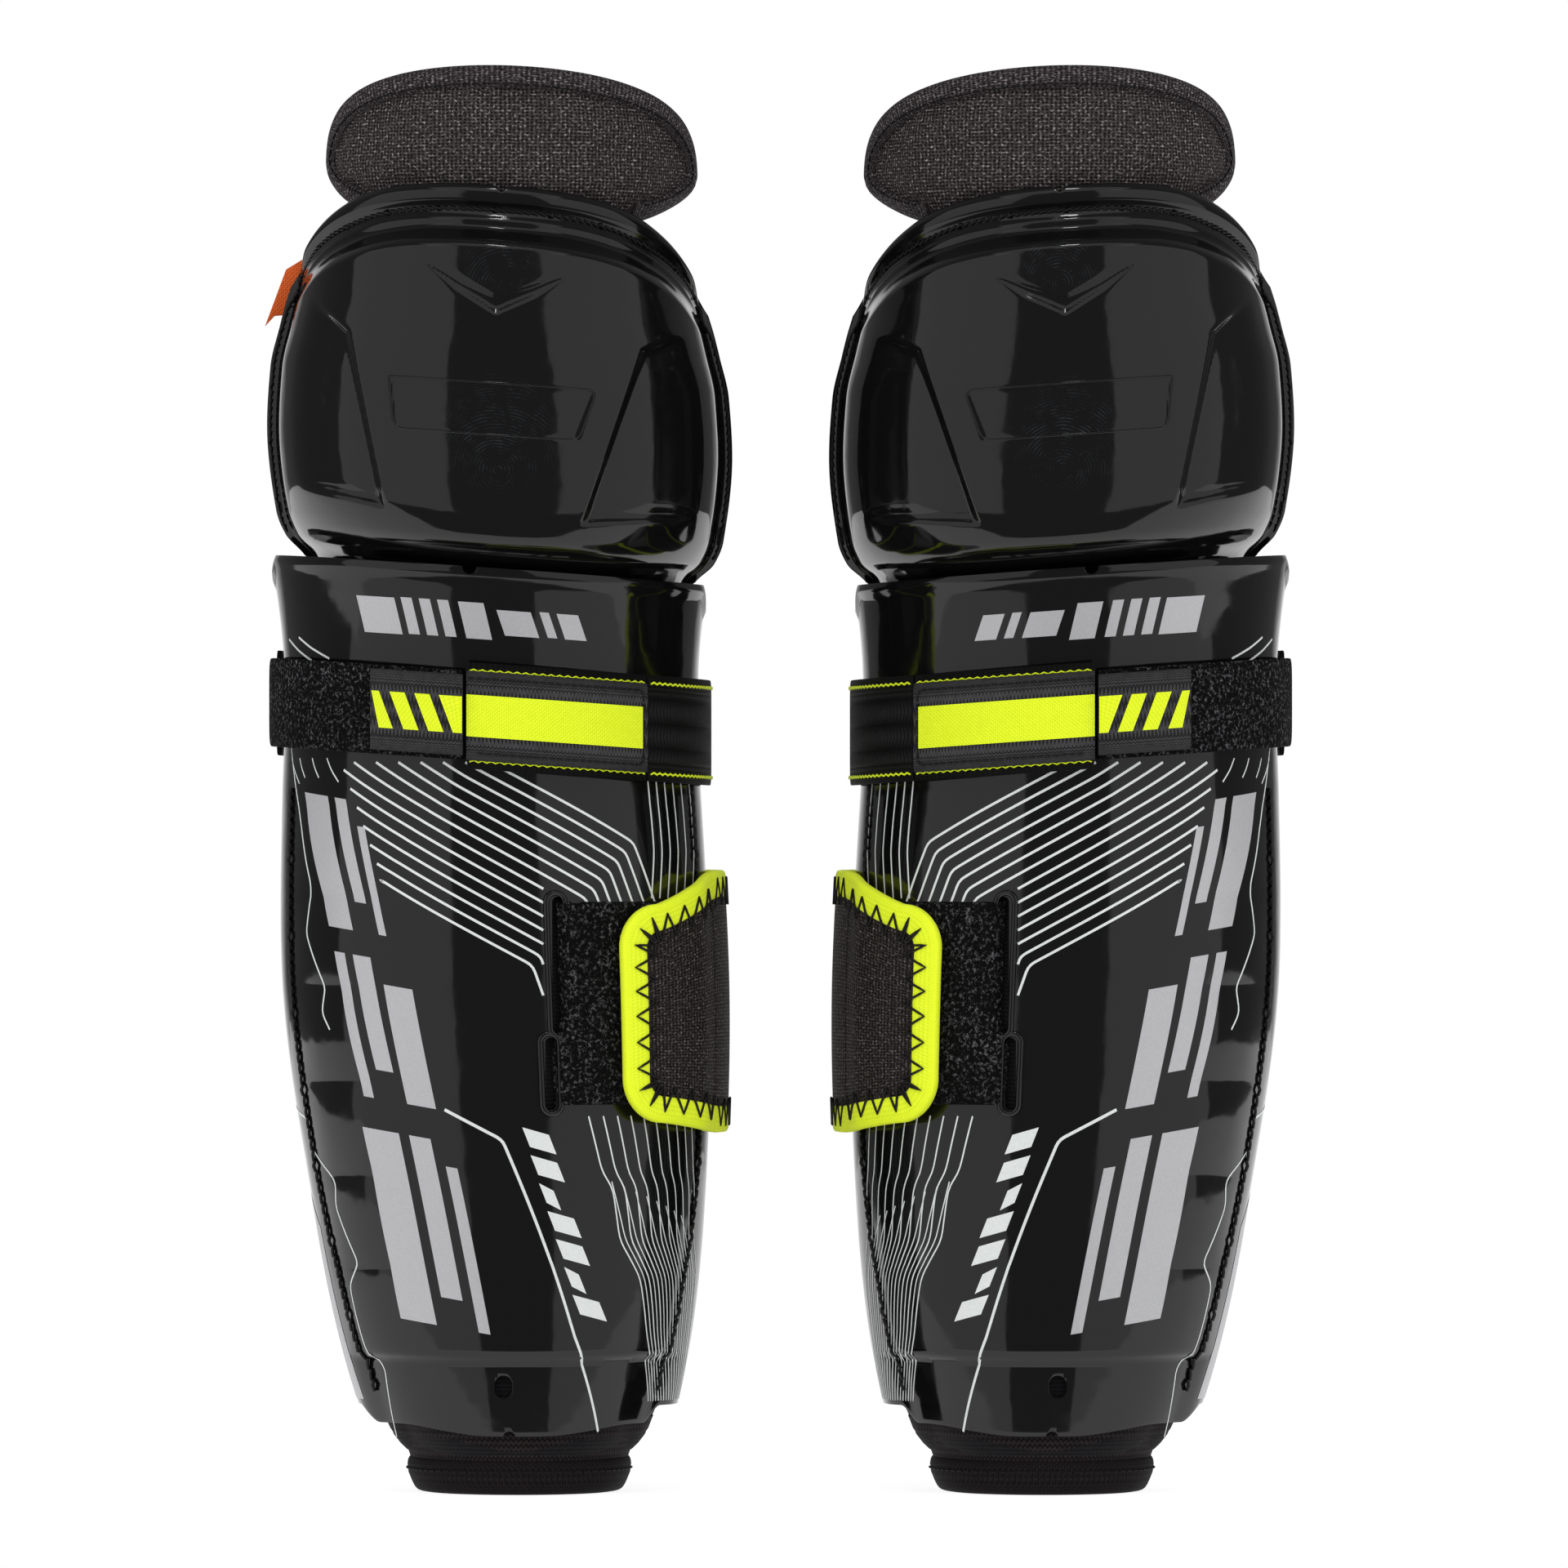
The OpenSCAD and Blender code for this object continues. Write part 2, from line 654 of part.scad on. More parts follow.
// How far the wrap stands off: over the hook and the loop patch in front, and in to the liner behind.
function wrap_off(a) =
    mix(patch_out + gap, liner_off + gap, ramp(a, shell_wrap + 8, anchor_turns[0] - 12))
        + (hook_t + gap) * (1 - ramp(a, hook_start + hook_turn, tab_fold_turn));

// Half height of the wrap at turn a: full behind, narrower towards the free end.
function wrap_half(a) =
    mix(tab_end_height / 2, wrap_height / 2, ramp(a, tab_end_turn, tab_fold_turn + 8));
// A point on the wrap, standing off its own inner face by off.
function wrap_point(a, z, off) = shin_point(a, z, wrap_off(a) + off, wrap_back);

module calf_tab() {
    end = tab_end_turn + tape_width / turn_mm;
    turns = steps(end, tab_fold_turn, 8);
    r = tab_corner - tape_width;
    function corner(a) =
        let (s = min(r, (a - end) * turn_mm)) r - sqrt(max(0, r * r - pow(r - s, 2)));
    function half(a) = wrap_half(a) - tape_width - corner(a);
    function grid(off) = [
        for (t = steps(-1, 1, 5)) [for (a = turns) wrap_point(a, wrap_z + t * half(a), off)]
    ];
    color("#29251f") between(grid(wrap_t), grid(0));
}

// Outline of the tab from the fold along its foot, round the free end and back along its top.
function tab_outline(inset) =
    let (
        end = tab_end_turn,
        r = tab_corner - inset,
        first = end + tab_corner / turn_mm,
        bottom = [
            for (a = steps(tab_fold_turn, first, 6)) [a, -wrap_half(a) + inset]
        ],
        centre = [first, -wrap_half(first) + tab_corner],
        arc = [
            for (t = steps(270, 180, 4))
                [centre[0] + r * cos(t) / turn_mm, centre[1] + r * sin(t)]
        ]
    )
    concat(
        bottom, [for (i = [1:len(arc) - 1]) arc[i]],
        [for (i = [len(arc) - 1:-1:1]) [arc[i][0], -arc[i][1]]],
        [for (i = [len(bottom) - 1:-1:0]) [bottom[i][0], -bottom[i][1]]]
    );

tape_out = wrap_t + tape_proud;
tape_gap = 0.2;

module tab_binding() {
    function ring(inset, off) = [
        for (p = tab_outline(inset)) wrap_point(p[0], wrap_z + p[1], off)
    ];
    edge = tape_width - tape_gap;
    color("#dbe161")
        between(
            [ring(edge, tape_out), ring(0, tape_out)],
            [ring(edge, 0), ring(0, 0)]
        );
}

module tab_hook() {
    turns = steps(hook_start, hook_start + hook_turn, 4);
    half = tab_end_height / 2 - tape_width - 2;
    function grid(off) = [
        for (t = steps(-1, 1, 3)) [for (a = turns) shin_point(a, wrap_z + t * half, off)]
    ];
    color("#151416") between(grid(patch_out + gap + hook_t), grid(patch_out + gap));
}

wing_turns = steps(tab_fold_turn + gap / turn_mm, anchor_turns[0] - gap / turn_mm, 12);

module calf_wing() {
    function grid(off) = [
        for (t = steps(-1, 1, 4)) [
            for (a = wing_turns) wrap_point(a, wrap_z + t * (wrap_half(a) - tape_width), off)
        ]
    ];
    color("#29251f") between(grid(wrap_t), grid(0));
}

module wing_binding() {
    edge = tape_width - tape_gap;
    function strip(side, off) = [
        for (inset = side > 0 ? [edge, 0] : [0, edge]) [
            for (a = wing_turns) wrap_point(a, wrap_z + side * (wrap_half(a) - inset), off)
        ]
    ];
    color("#dbe161") for (side = [-1, 1]) between(strip(side, tape_out), strip(side, 0));
}

module wrap_anchor() {
    turns = steps(anchor_turns[0], anchor_turns[1], 2);
    levels = steps(wrap_z - wrap_height / 2, wrap_z + wrap_height / 2, 4);
    function grid(off) = [for (z = levels) [for (a = turns) shin_point(a, z, off, wrap_back)]];
    color("#29251f") between(grid(liner_off + gap + wrap_t), grid(liner_off + gap));
}

// ---- Strap ----
// Half width and depth that clear the shell over the strap's whole height.
strap_span = [for (t = [-1, 0, 1]) mix(bulge_top_z, 2 * strap_z - bulge_top_z, (t + 1) / 2)];
strap_half = max([for (z = strap_span) through(z, shin_widths)]) + gap;
strap_front = max([for (z = strap_span) through(z, shin_fronts)]) + gap;
badge_end = 34;
strap_fold_turn = asin((badge_end + waist_lean) / strap_half);
pull_tab_turn = asin((badge_end - badge_length - pull_tab_length + waist_lean) / strap_half);
badge_turn = asin((badge_end - badge_length + waist_lean) / strap_half);
strap_side_turn = -100;

// A point on the strap's outline, standing off the shell by off.
function strap_point(a, off) = [
    -waist_lean + (strap_half + off) * sin(a),
    -((cos(a) >= 0 ? strap_front : strap_back_depth) + off) * cos(a)
];

// A band of the given height along part of the strap, on its slanted line.
module band(from, to, n, inner, outer, height) {
    turns = steps(from, to, n);
    translate([0, 0, strap_z])
        multmatrix([[1, 0, 0, 0], [0, 1, 0, 0], [-tan(slant), 0, 1, 0]])
            linear_extrude(height, center = true)
                polygon([
                    for (a = turns) strap_point(a, inner),
                    for (i = [n:-1:0]) strap_point(turns[i], outer)
                ]);
}

// Layers across the front, from the shell outwards.
loop_in = gap;
loop_out = loop_in + loop_strap_t;
hook_in = loop_out + gap;
hook_out = hook_in + hook_t;
elastic_in = gap;
elastic_out = elastic_in + elastic_t;
badge_in = elastic_out + gap;
badge_out = badge_in + 1.8;
pull_in = hook_out + gap;
pull_out = pull_in + 1.4;
turn_gap = gap / strap_half * 180 / PI;

module loop_strap() {
    color("#201e1f") band(strap_side_turn, badge_turn - 1, 12, loop_in, loop_out, loop_strap_width);
}

module elastic_back() {
    color("#1a1918")
        band(strap_fold_turn + turn_gap, 360 + strap_side_turn - turn_gap, 28, elastic_in, elastic_out, elastic_width);
}

module elastic_front() {
    color("#1a1918")
        band(badge_turn + turn_gap, strap_fold_turn - turn_gap, 8, elastic_in, elastic_out, elastic_width);
}

module strap_badge() {
    color("#232224")
        band(badge_turn + turn_gap, strap_fold_turn - 2, 8, badge_in, badge_out, pull_tab_width + 2);
}

module pull_tab() {
    color("#2b2a2c") band(pull_tab_turn, badge_turn - turn_gap, 5, pull_in, pull_out, pull_tab_width);
}

module strap_hook() {
    color("#151416")
        band(pull_tab_turn + 2, badge_turn - 3, 4, hook_in, hook_out, pull_tab_width - 2);
}

// ---- Folded tag at the outer side of the knee ----
tag_t = 1.2;
tag_level = 0.44 * cap_rise;
// Corners of the tag, across and up from the rim's widest side at that level.
tag_outline = [[8.9, 17.5], [4.3, 14.7], [-0.7, 1.2], [1.6, 3.7], [4.4, 3.9], [8.9, 10]];

module side_tag() {
    color("#c8602a")
        translate([-cap_width / 2, cap_point(-shell_wrap, cap_z)[1] + gap + tag_t, cap_z + tag_level])
            rotate([90, 0, 0]) linear_extrude(tag_t) polygon(tag_outline);
}

left() shin_shell();  // left_shin_shell
left() shin_liner();  // left_shin_liner
left() ankle_hem();  // left_ankle_hem
left() loop_patch();  // left_loop_patch
left() loop_strap();  // left_loop_strap
left() elastic_back();  // left_elastic_back
left() knee_cap();  // left_knee_cap
left() knee_liner();  // left_knee_liner
left() knee_cup_pad();  // left_knee_cup_pad
left() thigh_pad();  // left_thigh_pad
left() thigh_binding();  // left_thigh_binding
left() wrap_anchor();  // left_wrap_anchor
left() calf_wing();  // left_calf_wing
left() wing_binding();  // left_wing_binding
left() calf_tab();  // left_calf_tab
left() tab_binding();  // left_tab_binding
left() tab_hook();  // left_tab_hook
left() elastic_front();  // left_elastic_front
left() strap_badge();  // left_strap_badge
left() pull_tab();  // left_pull_tab
left() strap_hook();  // left_strap_hook
left() side_tag();  // left_side_tag
right() shin_shell();  // right_shin_shell
right() shin_liner();  // right_shin_liner
right() ankle_hem();  // right_ankle_hem
right() loop_patch();  // right_loop_patch
right() loop_strap();  // right_loop_strap
right() elastic_back();  // right_elastic_back
right() knee_cap();  // right_knee_cap
right() knee_liner();  // right_knee_liner
right() knee_cup_pad();  // right_knee_cup_pad
right() thigh_pad();  // right_thigh_pad
right() thigh_binding();  // right_thigh_binding
right() wrap_anchor();  // right_wrap_anchor
right() calf_wing();  // right_calf_wing
right() wing_binding();  // right_wing_binding
right() calf_tab();  // right_calf_tab
right() tab_binding();  // right_tab_binding
right() tab_hook();  // right_tab_hook
right() elastic_front();  // right_elastic_front
right() strap_badge();  // right_strap_badge
right() pull_tab();  // right_pull_tab
right() strap_hook();  // right_strap_hook
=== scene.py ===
"""Visual model of a pair of youth hockey shin guards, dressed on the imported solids.

Each guard is modelled once, as the left one, in millimetres about its own leg axis: the knee cap faces
-Y, the inner side of the leg is +X and the floor is z = 0. Bench.put() then places it as the left guard
and mirrors it as the right one.
"""

from __future__ import annotations

import json
import logging
import math
from collections.abc import Callable, Iterable, Sequence
from dataclasses import dataclass, field
from enum import Enum

import bmesh
import bpy
from mathutils import Matrix, Vector

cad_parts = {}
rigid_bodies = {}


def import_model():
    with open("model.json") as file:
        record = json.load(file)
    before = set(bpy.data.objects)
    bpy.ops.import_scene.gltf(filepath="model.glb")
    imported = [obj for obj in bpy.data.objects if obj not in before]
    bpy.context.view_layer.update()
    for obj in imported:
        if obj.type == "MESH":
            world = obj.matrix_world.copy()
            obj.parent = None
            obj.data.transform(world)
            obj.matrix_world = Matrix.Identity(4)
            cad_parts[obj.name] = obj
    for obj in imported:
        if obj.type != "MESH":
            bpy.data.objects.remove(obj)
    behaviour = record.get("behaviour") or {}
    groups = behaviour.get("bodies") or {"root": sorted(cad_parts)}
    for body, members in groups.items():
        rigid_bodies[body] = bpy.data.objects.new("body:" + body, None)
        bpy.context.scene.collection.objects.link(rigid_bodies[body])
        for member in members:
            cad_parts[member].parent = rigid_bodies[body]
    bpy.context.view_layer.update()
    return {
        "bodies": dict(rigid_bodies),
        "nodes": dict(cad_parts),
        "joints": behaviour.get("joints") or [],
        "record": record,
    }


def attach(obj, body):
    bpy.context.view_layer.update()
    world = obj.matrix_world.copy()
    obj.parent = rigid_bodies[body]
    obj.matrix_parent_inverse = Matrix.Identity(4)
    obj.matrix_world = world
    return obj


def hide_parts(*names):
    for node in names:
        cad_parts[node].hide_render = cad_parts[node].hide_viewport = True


LOG = logging.getLogger("shin_guards")
BMesh = bmesh.types.BMesh
Mesh = bpy.types.Mesh
Tree = bpy.types.NodeTree
Socket = bpy.types.NodeSocket
Point = Callable[[float, float], Vector]
Spots = Sequence[tuple[float, float]]


class Side(Enum):
    """The two guards, with the sign that mirrors one into the other."""

    LEFT = 1
    RIGHT = -1

    @property
    def word(self) -> str:
        """Lower-case name that the bodies and nodes of this guard start with."""
        return self.name.lower()


# ---------------------------------------------------------------- numbers


def clamp(t: float) -> float:
    """Return t kept between 0 and 1."""
    return max(0.0, min(1.0, t))


def ramp(x: float, start: float, end: float) -> float:
    """Return a smooth step from 0 at start to 1 at end."""
    t = clamp((x - start) / (end - start))
    return t * t * (3 - 2 * t)


def mix(a: float, b: float, t: float) -> float:
    """Return the value a share t of the way from a to b."""
    return a + (b - a) * t


def sind(a: float) -> float:
    """Return the sine of an angle in degrees."""
    return math.sin(math.radians(a))


def cosd(a: float) -> float:
    """Return the cosine of an angle in degrees."""
    return math.cos(math.radians(a))


def tand(a: float) -> float:
    """Return the tangent of an angle in degrees."""
    return math.tan(math.radians(a))


@dataclass
class Curve:
    """Smooth curve through knots that never passes a knot's value, level beyond both ends."""

    knots: Spots
    slopes: list[float] = field(init=False)

    def __post_init__(self) -> None:
        """Work out the slope at every knot."""
        k = self.knots
        rise = [(b[1] - a[1]) / (b[0] - a[0]) for a, b in zip(k, k[1:])]
        inner = [
            0.0 if a * b <= 0 else 2 * a * b / (a + b) for a, b in zip(rise, rise[1:])
        ] or [rise[0]]
        self.slopes = [1.5 * rise[0] - 0.5 * inner[0], *inner, 1.5 * rise[-1] - 0.5 * inner[-1]]
        if len(k) == 2:
            self.slopes = [rise[0], rise[0]]

    def __call__(self, x: float) -> float:
        """Return the curve's value at x."""
        k, i = self.knots, 0
        while i < len(k) - 2 and x >= k[i + 1][0]:
            i += 1
        h = k[i + 1][0] - k[i][0]
        t = clamp((x - k[i][0]) / h)
        return (
            k[i][1] * (1 + 2 * t) * (1 - t) ** 2
            + self.slopes[i] * h * t * (1 - t) ** 2
            + k[i + 1][1] * t * t * (3 - 2 * t)
            - self.slopes[i + 1] * h * t * t * (1 - t)
        )


# ---------------------------------------------------------------- mesh making


def drape(cols: int, rows: int, where: Point, size: tuple[float, float] = (1.0, 1.0)) -> BMesh:
    """Lay a grid on a surface.

    Args:
        cols: Number of faces along the first direction.
        rows: Number of faces along the second direction.
        where: Gives the place of a point from its two shares, each 0 to 1.
        size: What the cloth measures along both directions, in mm, for its UV map.

    Returns:
        The mesh, whose faces point to the left of the first direction seen along the second.
    """
    bm = bmesh.new()
    bmesh.ops.create_grid(bm, x_segments=cols, y_segments=rows, size=0.5)
    cloth = bm.loops.layers.uv.new("Cloth")
    for face in bm.faces:
        for loop in face.loops:
            loop[cloth].uv = ((loop.vert.co.x + 0.5) * size[0], (loop.vert.co.y + 0.5) * size[1])
    for vert in bm.verts:
        vert.co = where(vert.co.x + 0.5, vert.co.y + 0.5)
    return bm


def tube(
    cols: int, rows: int, where: Point, size: tuple[float, float] = (1.0, 1.0), ring: bool = False
) -> BMesh:
    """Lay a grid round a closed section and cap both ends.

    Args:
        cols: Number of faces along the path.
        rows: Number of faces round the section.
        where: Gives the place of a point from its share of the path and of the section.
        size: What the cloth measures along the path and round the section, in mm.
        ring: Whether the path closes on itself, so that it has no ends.

    Returns:
        The closed mesh, with its faces outwards.
    """
    bm = drape(cols, rows, where, size)
    bmesh.ops.remove_doubles(bm, verts=bm.verts, dist=1e-3)
    if not ring:
        bmesh.ops.holes_fill(bm, edges=[e for e in bm.edges if e.is_boundary], sides=0)
    bmesh.ops.recalc_face_normals(bm, faces=bm.faces)
    return bm


def cushion(
    cuts: int, where: Callable[[float, float, float], Vector], size: tuple[float, float]
) -> BMesh:
    """Shape a cube, cut fine, into a pad.

    Args:
        cuts: Number of cuts along each edge of the cube.
        where: Gives the place of a point from its shares across, up and through the pad.
        size: What the cloth measures across and up, in mm.

    Returns:
        The closed mesh, with its faces outwards.
    """
    bm = bmesh.new()
    bmesh.ops.create_cube(bm, size=1)
    bmesh.ops.subdivide_edges(bm, edges=bm.edges, cuts=cuts, use_grid_fill=True)
    cloth = bm.loops.layers.uv.new("Cloth")
    for face in bm.faces:
        for loop in face.loops:
            loop[cloth].uv = ((loop.vert.co.x + 0.5) * size[0], (loop.vert.co.z + 0.5) * size[1])
    for vert in bm.verts:
        vert.co = where(vert.co.x + 0.5, vert.co.z + 0.5, vert.co.y + 0.5)
    bmesh.ops.recalc_face_normals(bm, faces=bm.faces)
    return bm


def rounded(t: float, width: float, height: float, square: float = 0.3) -> tuple[float, float]:
    """Return the point at share t round a rounded rectangle about the origin, from its right side up."""
    a = 2 * math.pi * t
    c, s = math.cos(a), math.sin(a)
    return (
        width / 2 * math.copysign(abs(c) ** square, c),
        height / 2 * math.copysign(abs(s) ** square, s),
    )


def joined(parts: Iterable[BMesh]) -> BMesh:
    """Return one bmesh made of several, which are used up."""
    whole = bmesh.new()
    for part in parts:
        mesh = bpy.data.meshes.new("work")
        part.to_mesh(mesh)
        part.free()
        whole.from_mesh(mesh)
        bpy.data.meshes.remove(mesh)
    return whole


def in_scene(name: str, data: bpy.types.ID) -> bpy.types.Object:
    """Return a new object in the scene that holds the data."""
    thing = bpy.data.objects.new(name, data)
    bpy.context.scene.collection.objects.link(thing)
    return thing


def baked(holder: bpy.types.Object) -> Mesh:
    """Return a new mesh of an object's shape, with its modifiers applied."""
    return bpy.data.meshes.new_from_object(holder.evaluated_get(bpy.context.evaluated_depsgraph_get()))


def solid(thickness: float, offset: float = -1.0) -> tuple[str, dict]:
    """Return the step of settle() that thickens a sheet, by default behind its face."""
    return "SOLIDIFY", {"thickness": thickness, "offset": offset}


def bevel(width: float, segments: int, angle: float, **more: object) -> tuple[str, dict]:
    """Return the step of settle() that rounds every edge sharper than an angle in degrees."""
    limit = {"limit_method": "ANGLE", "angle_limit": math.radians(angle)}
    return "BEVEL", {"width": width, "segments": segments, **limit, **more}


def extruded(bm: BMesh, faces: Sequence[bmesh.types.BMFace], step: tuple[float, float, float]) -> None:
    """Pull faces out by a step, with side walls behind them."""
    grown = bmesh.ops.extrude_face_region(bm, geom=faces)["geom"]
    bmesh.ops.translate(bm, verts=[v for v in grown if isinstance(v, bmesh.types.BMVert)], vec=step)


def quad(
    corners: Spots, faces: tuple[int, int], place: Point, size: tuple[float, float]
) -> BMesh:
    """Lay a four-cornered figure.

    Args:
        corners: The corners, from the low left one round.
        faces: Number of faces across and up.
        place: Gives the place of a point between the corners.
        size: What the figure measures across and up, in mm, for its UV map.

    Returns:
        The flat figure.
    """
    low, right, high, left = (Vector(corner) for corner in corners)

    def where(s: float, t: float) -> Vector:
        spot = low.lerp(right, s).lerp(left.lerp(high, s), t)
        return place(spot.x, spot.y)

    return drape(*faces, where, size)


def settle(bm: BMesh, *steps: tuple[str, dict], sharp: float = 40.0) -> Mesh:
    """Turn a bmesh into a finished mesh.

    Args:
        bm: The mesh in work, which is freed.
        steps: Modifiers to apply in order, as a type and its settings.
        sharp: Edges that bend by more than this many degrees are shaded sharp.

    Returns:
        The mesh, with smooth shading between its sharp edges.
    """
    mesh = bpy.data.meshes.new("work")
    bm.to_mesh(mesh)
    bm.free()
    if steps:
        holder = in_scene("work", mesh)
        for kind, settings in steps:
            step = holder.modifiers.new(kind, kind)
            for name, value in settings.items():
                setattr(step, name, value)
        mesh = baked(holder)
        bpy.data.objects.remove(holder)
    mesh.polygons.foreach_set("use_smooth", [True] * len(mesh.polygons))
    mesh.set_sharp_from_angle(angle=math.radians(sharp))
    return mesh


def swell(
    mesh: Mesh, held: Callable[[Vector], float], most: float, push: float = 4.0, spare: float = 0.04
) -> Mesh:
    """Puff up a closed pad by cloth simulation under a little pressure.

    Args:
        mesh: The slack pad, in mm.
        held: How firmly a point is held by the seam, 0 to 1.
        most: How far a point may move, in mm.
        push: The pressure.
        spare: How much longer the cloth is than the slack pad, as a share.

    Returns: The filled pad in mm, without its UV map.
    """
    scene, voxel, last_frame = bpy.context.scene, 0.003, 20
    mesh.transform(Matrix.Scale(0.001, 4))
    holder = in_scene("work", mesh)
    skin = holder.modifiers.new("Skin", "REMESH")
    skin.mode, skin.voxel_size = "VOXEL", voxel
    holder.data = baked(holder)
    holder.modifiers.clear()
    seam = holder.vertex_groups.new(name="seam")
    start = [vert.co.copy() for vert in holder.data.vertices]
    for k, spot in enumerate(start):
        seam.add([k], held(spot * 1000), "REPLACE")
    fill = holder.modifiers.new("Fill", "CLOTH")
    fill.settings.vertex_group_mass = seam.name
    fill.settings.use_pressure, fill.settings.uniform_pressure_force = True, push
    fill.settings.effector_weights.gravity = 0
    fill.settings.shrink_min = -spare
    fill.point_cache.frame_start, fill.point_cache.frame_end = 1, last_frame
    for frame in range(1, last_frame + 1):
        scene.frame_set(frame)
    filled = baked(holder)
    scene.frame_set(1)
    bpy.data.objects.remove(holder)
    for vert, spot in zip(filled.vertices, start):
        step = vert.co - spot
        if step.length > most / 1000:
            vert.co = spot + step.normalized() * most / 1000
    filled.transform(Matrix.Scale(1000, 4))
    smooth = bmesh.new()
    smooth.from_mesh(filled)
    axes = {"use_axis_x": True, "use_axis_y": True, "use_axis_z": True}
    bmesh.ops.smooth_vert(smooth, verts=smooth.verts, factor=0.5, **axes)
    return settle(smooth, ("SUBSURF", {"levels": 1, "render_levels": 1}), sharp=80)


def map_cloth(mesh: Mesh, flat: Callable[[Vector], tuple[float, float]]) -> None:
    """Give a mesh the cloth's UV map, in mm, from each point's place on the laid-out cloth."""
    layer = mesh.uv_layers.get("Cloth") or mesh.uv_layers.new(name="Cloth")
    for loop, uv in zip(mesh.loops, layer.data):
        uv.uv = flat(mesh.vertices[loop.vertex_index].co)


def threads(paths: Iterable[Sequence[Vector]], radius: float, sides: int = 1, ring: bool = False) -> Mesh:
    """Make round threads along paths.

    Args:
        paths: The points of each thread, in mm.
        radius: Half the thread's thickness.
        sides: Roundness of the thread: 1 gives eight sides.
        ring: Whether each path closes on itself.

    Returns:
        One mesh of all the threads, with closed ends.
    """
    data = bpy.data.curves.new("work", "CURVE")
    data.dimensions = "3D"
    data.bevel_depth, data.bevel_resolution, data.use_fill_caps = radius, sides, not ring
    for path in paths:
        line = data.splines.new("POLY")
        line.points.add(len(path) - 1)
        for spot, point in zip(line.points, path):
            spot.co = (*point, 1)
        line.use_cyclic_u = ring
    holder = in_scene("work", data)
    mesh = baked(holder)
    bpy.data.objects.remove(holder)
    bpy.data.curves.remove(data)
    mesh.materials.clear()
    mesh.polygons.foreach_set("use_smooth", [True] * len(mesh.polygons))
    return mesh


def walk(where: Callable[[float], Vector], pitch: float, fine: int = 400) -> list[Vector]:
    """Return points a pitch apart along a path that where() gives for shares 0 to 1."""
    dots = [where(i / fine) for i in range(fine + 1)]
    out, gone = [dots[0]], 0.0
    for a, b in zip(dots, dots[1:]):
        step = (b - a).length
        while gone + step >= pitch:
            a = a.lerp(b, (pitch - gone) / step)
            step, gone = (b - a).length, 0.0
            out.append(a)
        gone += step
    return out


def twisted(dots: Sequence[Vector], wide: float) -> list[list[Vector]]:
    """Return short overlapping strands along a path, laid aslant as in a twisted cord."""
    out = []
    for k, (a, b) in enumerate(zip(dots, dots[1:])):
        away = Vector((a.x, a.y, 0)).normalized()
        cross = (b - a).normalized().cross(away) * wide
        out.append([a - cross, a.lerp(b, 0.5) + away * (0.45 if k % 7 == 0 else 0.15), b + cross])
    return out


def eased(dots: Spots, reach: float = 2.5) -> list[tuple[float, float]]:
    """Return a path with its corners rounded off within a reach in mm, between the same ends."""
    spots = [Vector(dot) for dot in dots]
    out = [spots[0]]
    for a, b, c in zip(spots, spots[1:], spots[2:]):
        before, after = b - a, c - b
        p = b - before * min(0.45, reach / max(0.1, before.length))
        q = b + after * min(0.45, reach / max(0.1, after.length))
        out += [p.lerp(b, t).lerp(b.lerp(q, t), t) for t in (0, 0.33, 0.67, 1)]
    return [tuple(spot) for spot in [*out, spots[-1]]]


def dashes(dots: Sequence[Vector], share: float = 0.7) -> list[list[Vector]]:
    """Return one short stitch for each pair of neighbouring dots, leaving a gap after it."""
    return [[a, a.lerp(b, share / 2), a.lerp(b, share)] for a, b in zip(dots, dots[1:])]


# ---------------------------------------------------------------- finishes


def srgb(code: str) -> tuple[float, float, float, float]:
    """Turn an sRGB hex colour such as '#ff8800' into a linear colour with alpha."""
    parts = [int(code[i : i + 2], 16) / 255 for i in (1, 3, 5)]
    return (*(c / 12.92 if c <= 0.04045 else ((c + 0.055) / 1.055) ** 2.4 for c in parts), 1.0)


def add(tree: Tree, kind: str, settings: dict | None = None, **inputs: object) -> bpy.types.Node:
    """Add a node to a material.

    Args:
        tree: The material's node tree.
        kind: The node's type without its ShaderNode prefix.
        settings: Values for the node's own settings.
        inputs: A value or another node's output for each input; an underscore stands for a space, and a
            name such as in0 is the input at that place.

    Returns:
        The new node.
    """
    node = tree.nodes.new("ShaderNode" + kind)
    for name, value in (settings or {}).items():
        setattr(node, name, value)
    for name, value in inputs.items():
        key: int | str = int(name[2:]) if name[:2] == "in" and name[2:].isdigit() else name.replace("_", " ")
        if isinstance(value, Socket):
            tree.links.new(value, node.inputs[key])
        else:
            node.inputs[key].default_value = value
    return node


def blank(name: str) -> tuple[bpy.types.Material, Tree]:
    """Return a new material with an empty node tree, and that tree."""
    made = bpy.data.materials.new(name)
    made.use_nodes = True
    made.node_tree.nodes.clear()
    return made, made.node_tree


def close(tree: Tree, surface: Socket) -> None:
    """Link a surface to the material's output."""
    add(tree, "OutputMaterial", Surface=surface)


def places(tree: Tree, metres: float = 1.0) -> Socket:
    """Return the object's own coordinates, in metres times a scale."""
    spot = add(tree, "TexCoord").outputs["Object"]
    return add(tree, "Mapping", Vector=spot, Scale=(metres,) * 3).outputs[0]


def noise(tree: Tree, grain_mm: float, detail: float, **more: float) -> Socket:
    """Return a cloudy pattern, 0 to 1, with spots about grain_mm across."""
    return add(
        tree, "TexNoise", Vector=places(tree), Scale=1000 / grain_mm, Detail=detail, **more
    ).outputs[0]


def stretch(
    tree: Tree, value: object, low: object, high: object, least: float = 0.0, most: float = 1.0
) -> Socket:
    """Return a value whose range from low to high is stretched to least to most, and level beyond."""
    return add(tree, "MapRange", in0=value, in1=low, in2=high, in3=least, in4=most).outputs[0]


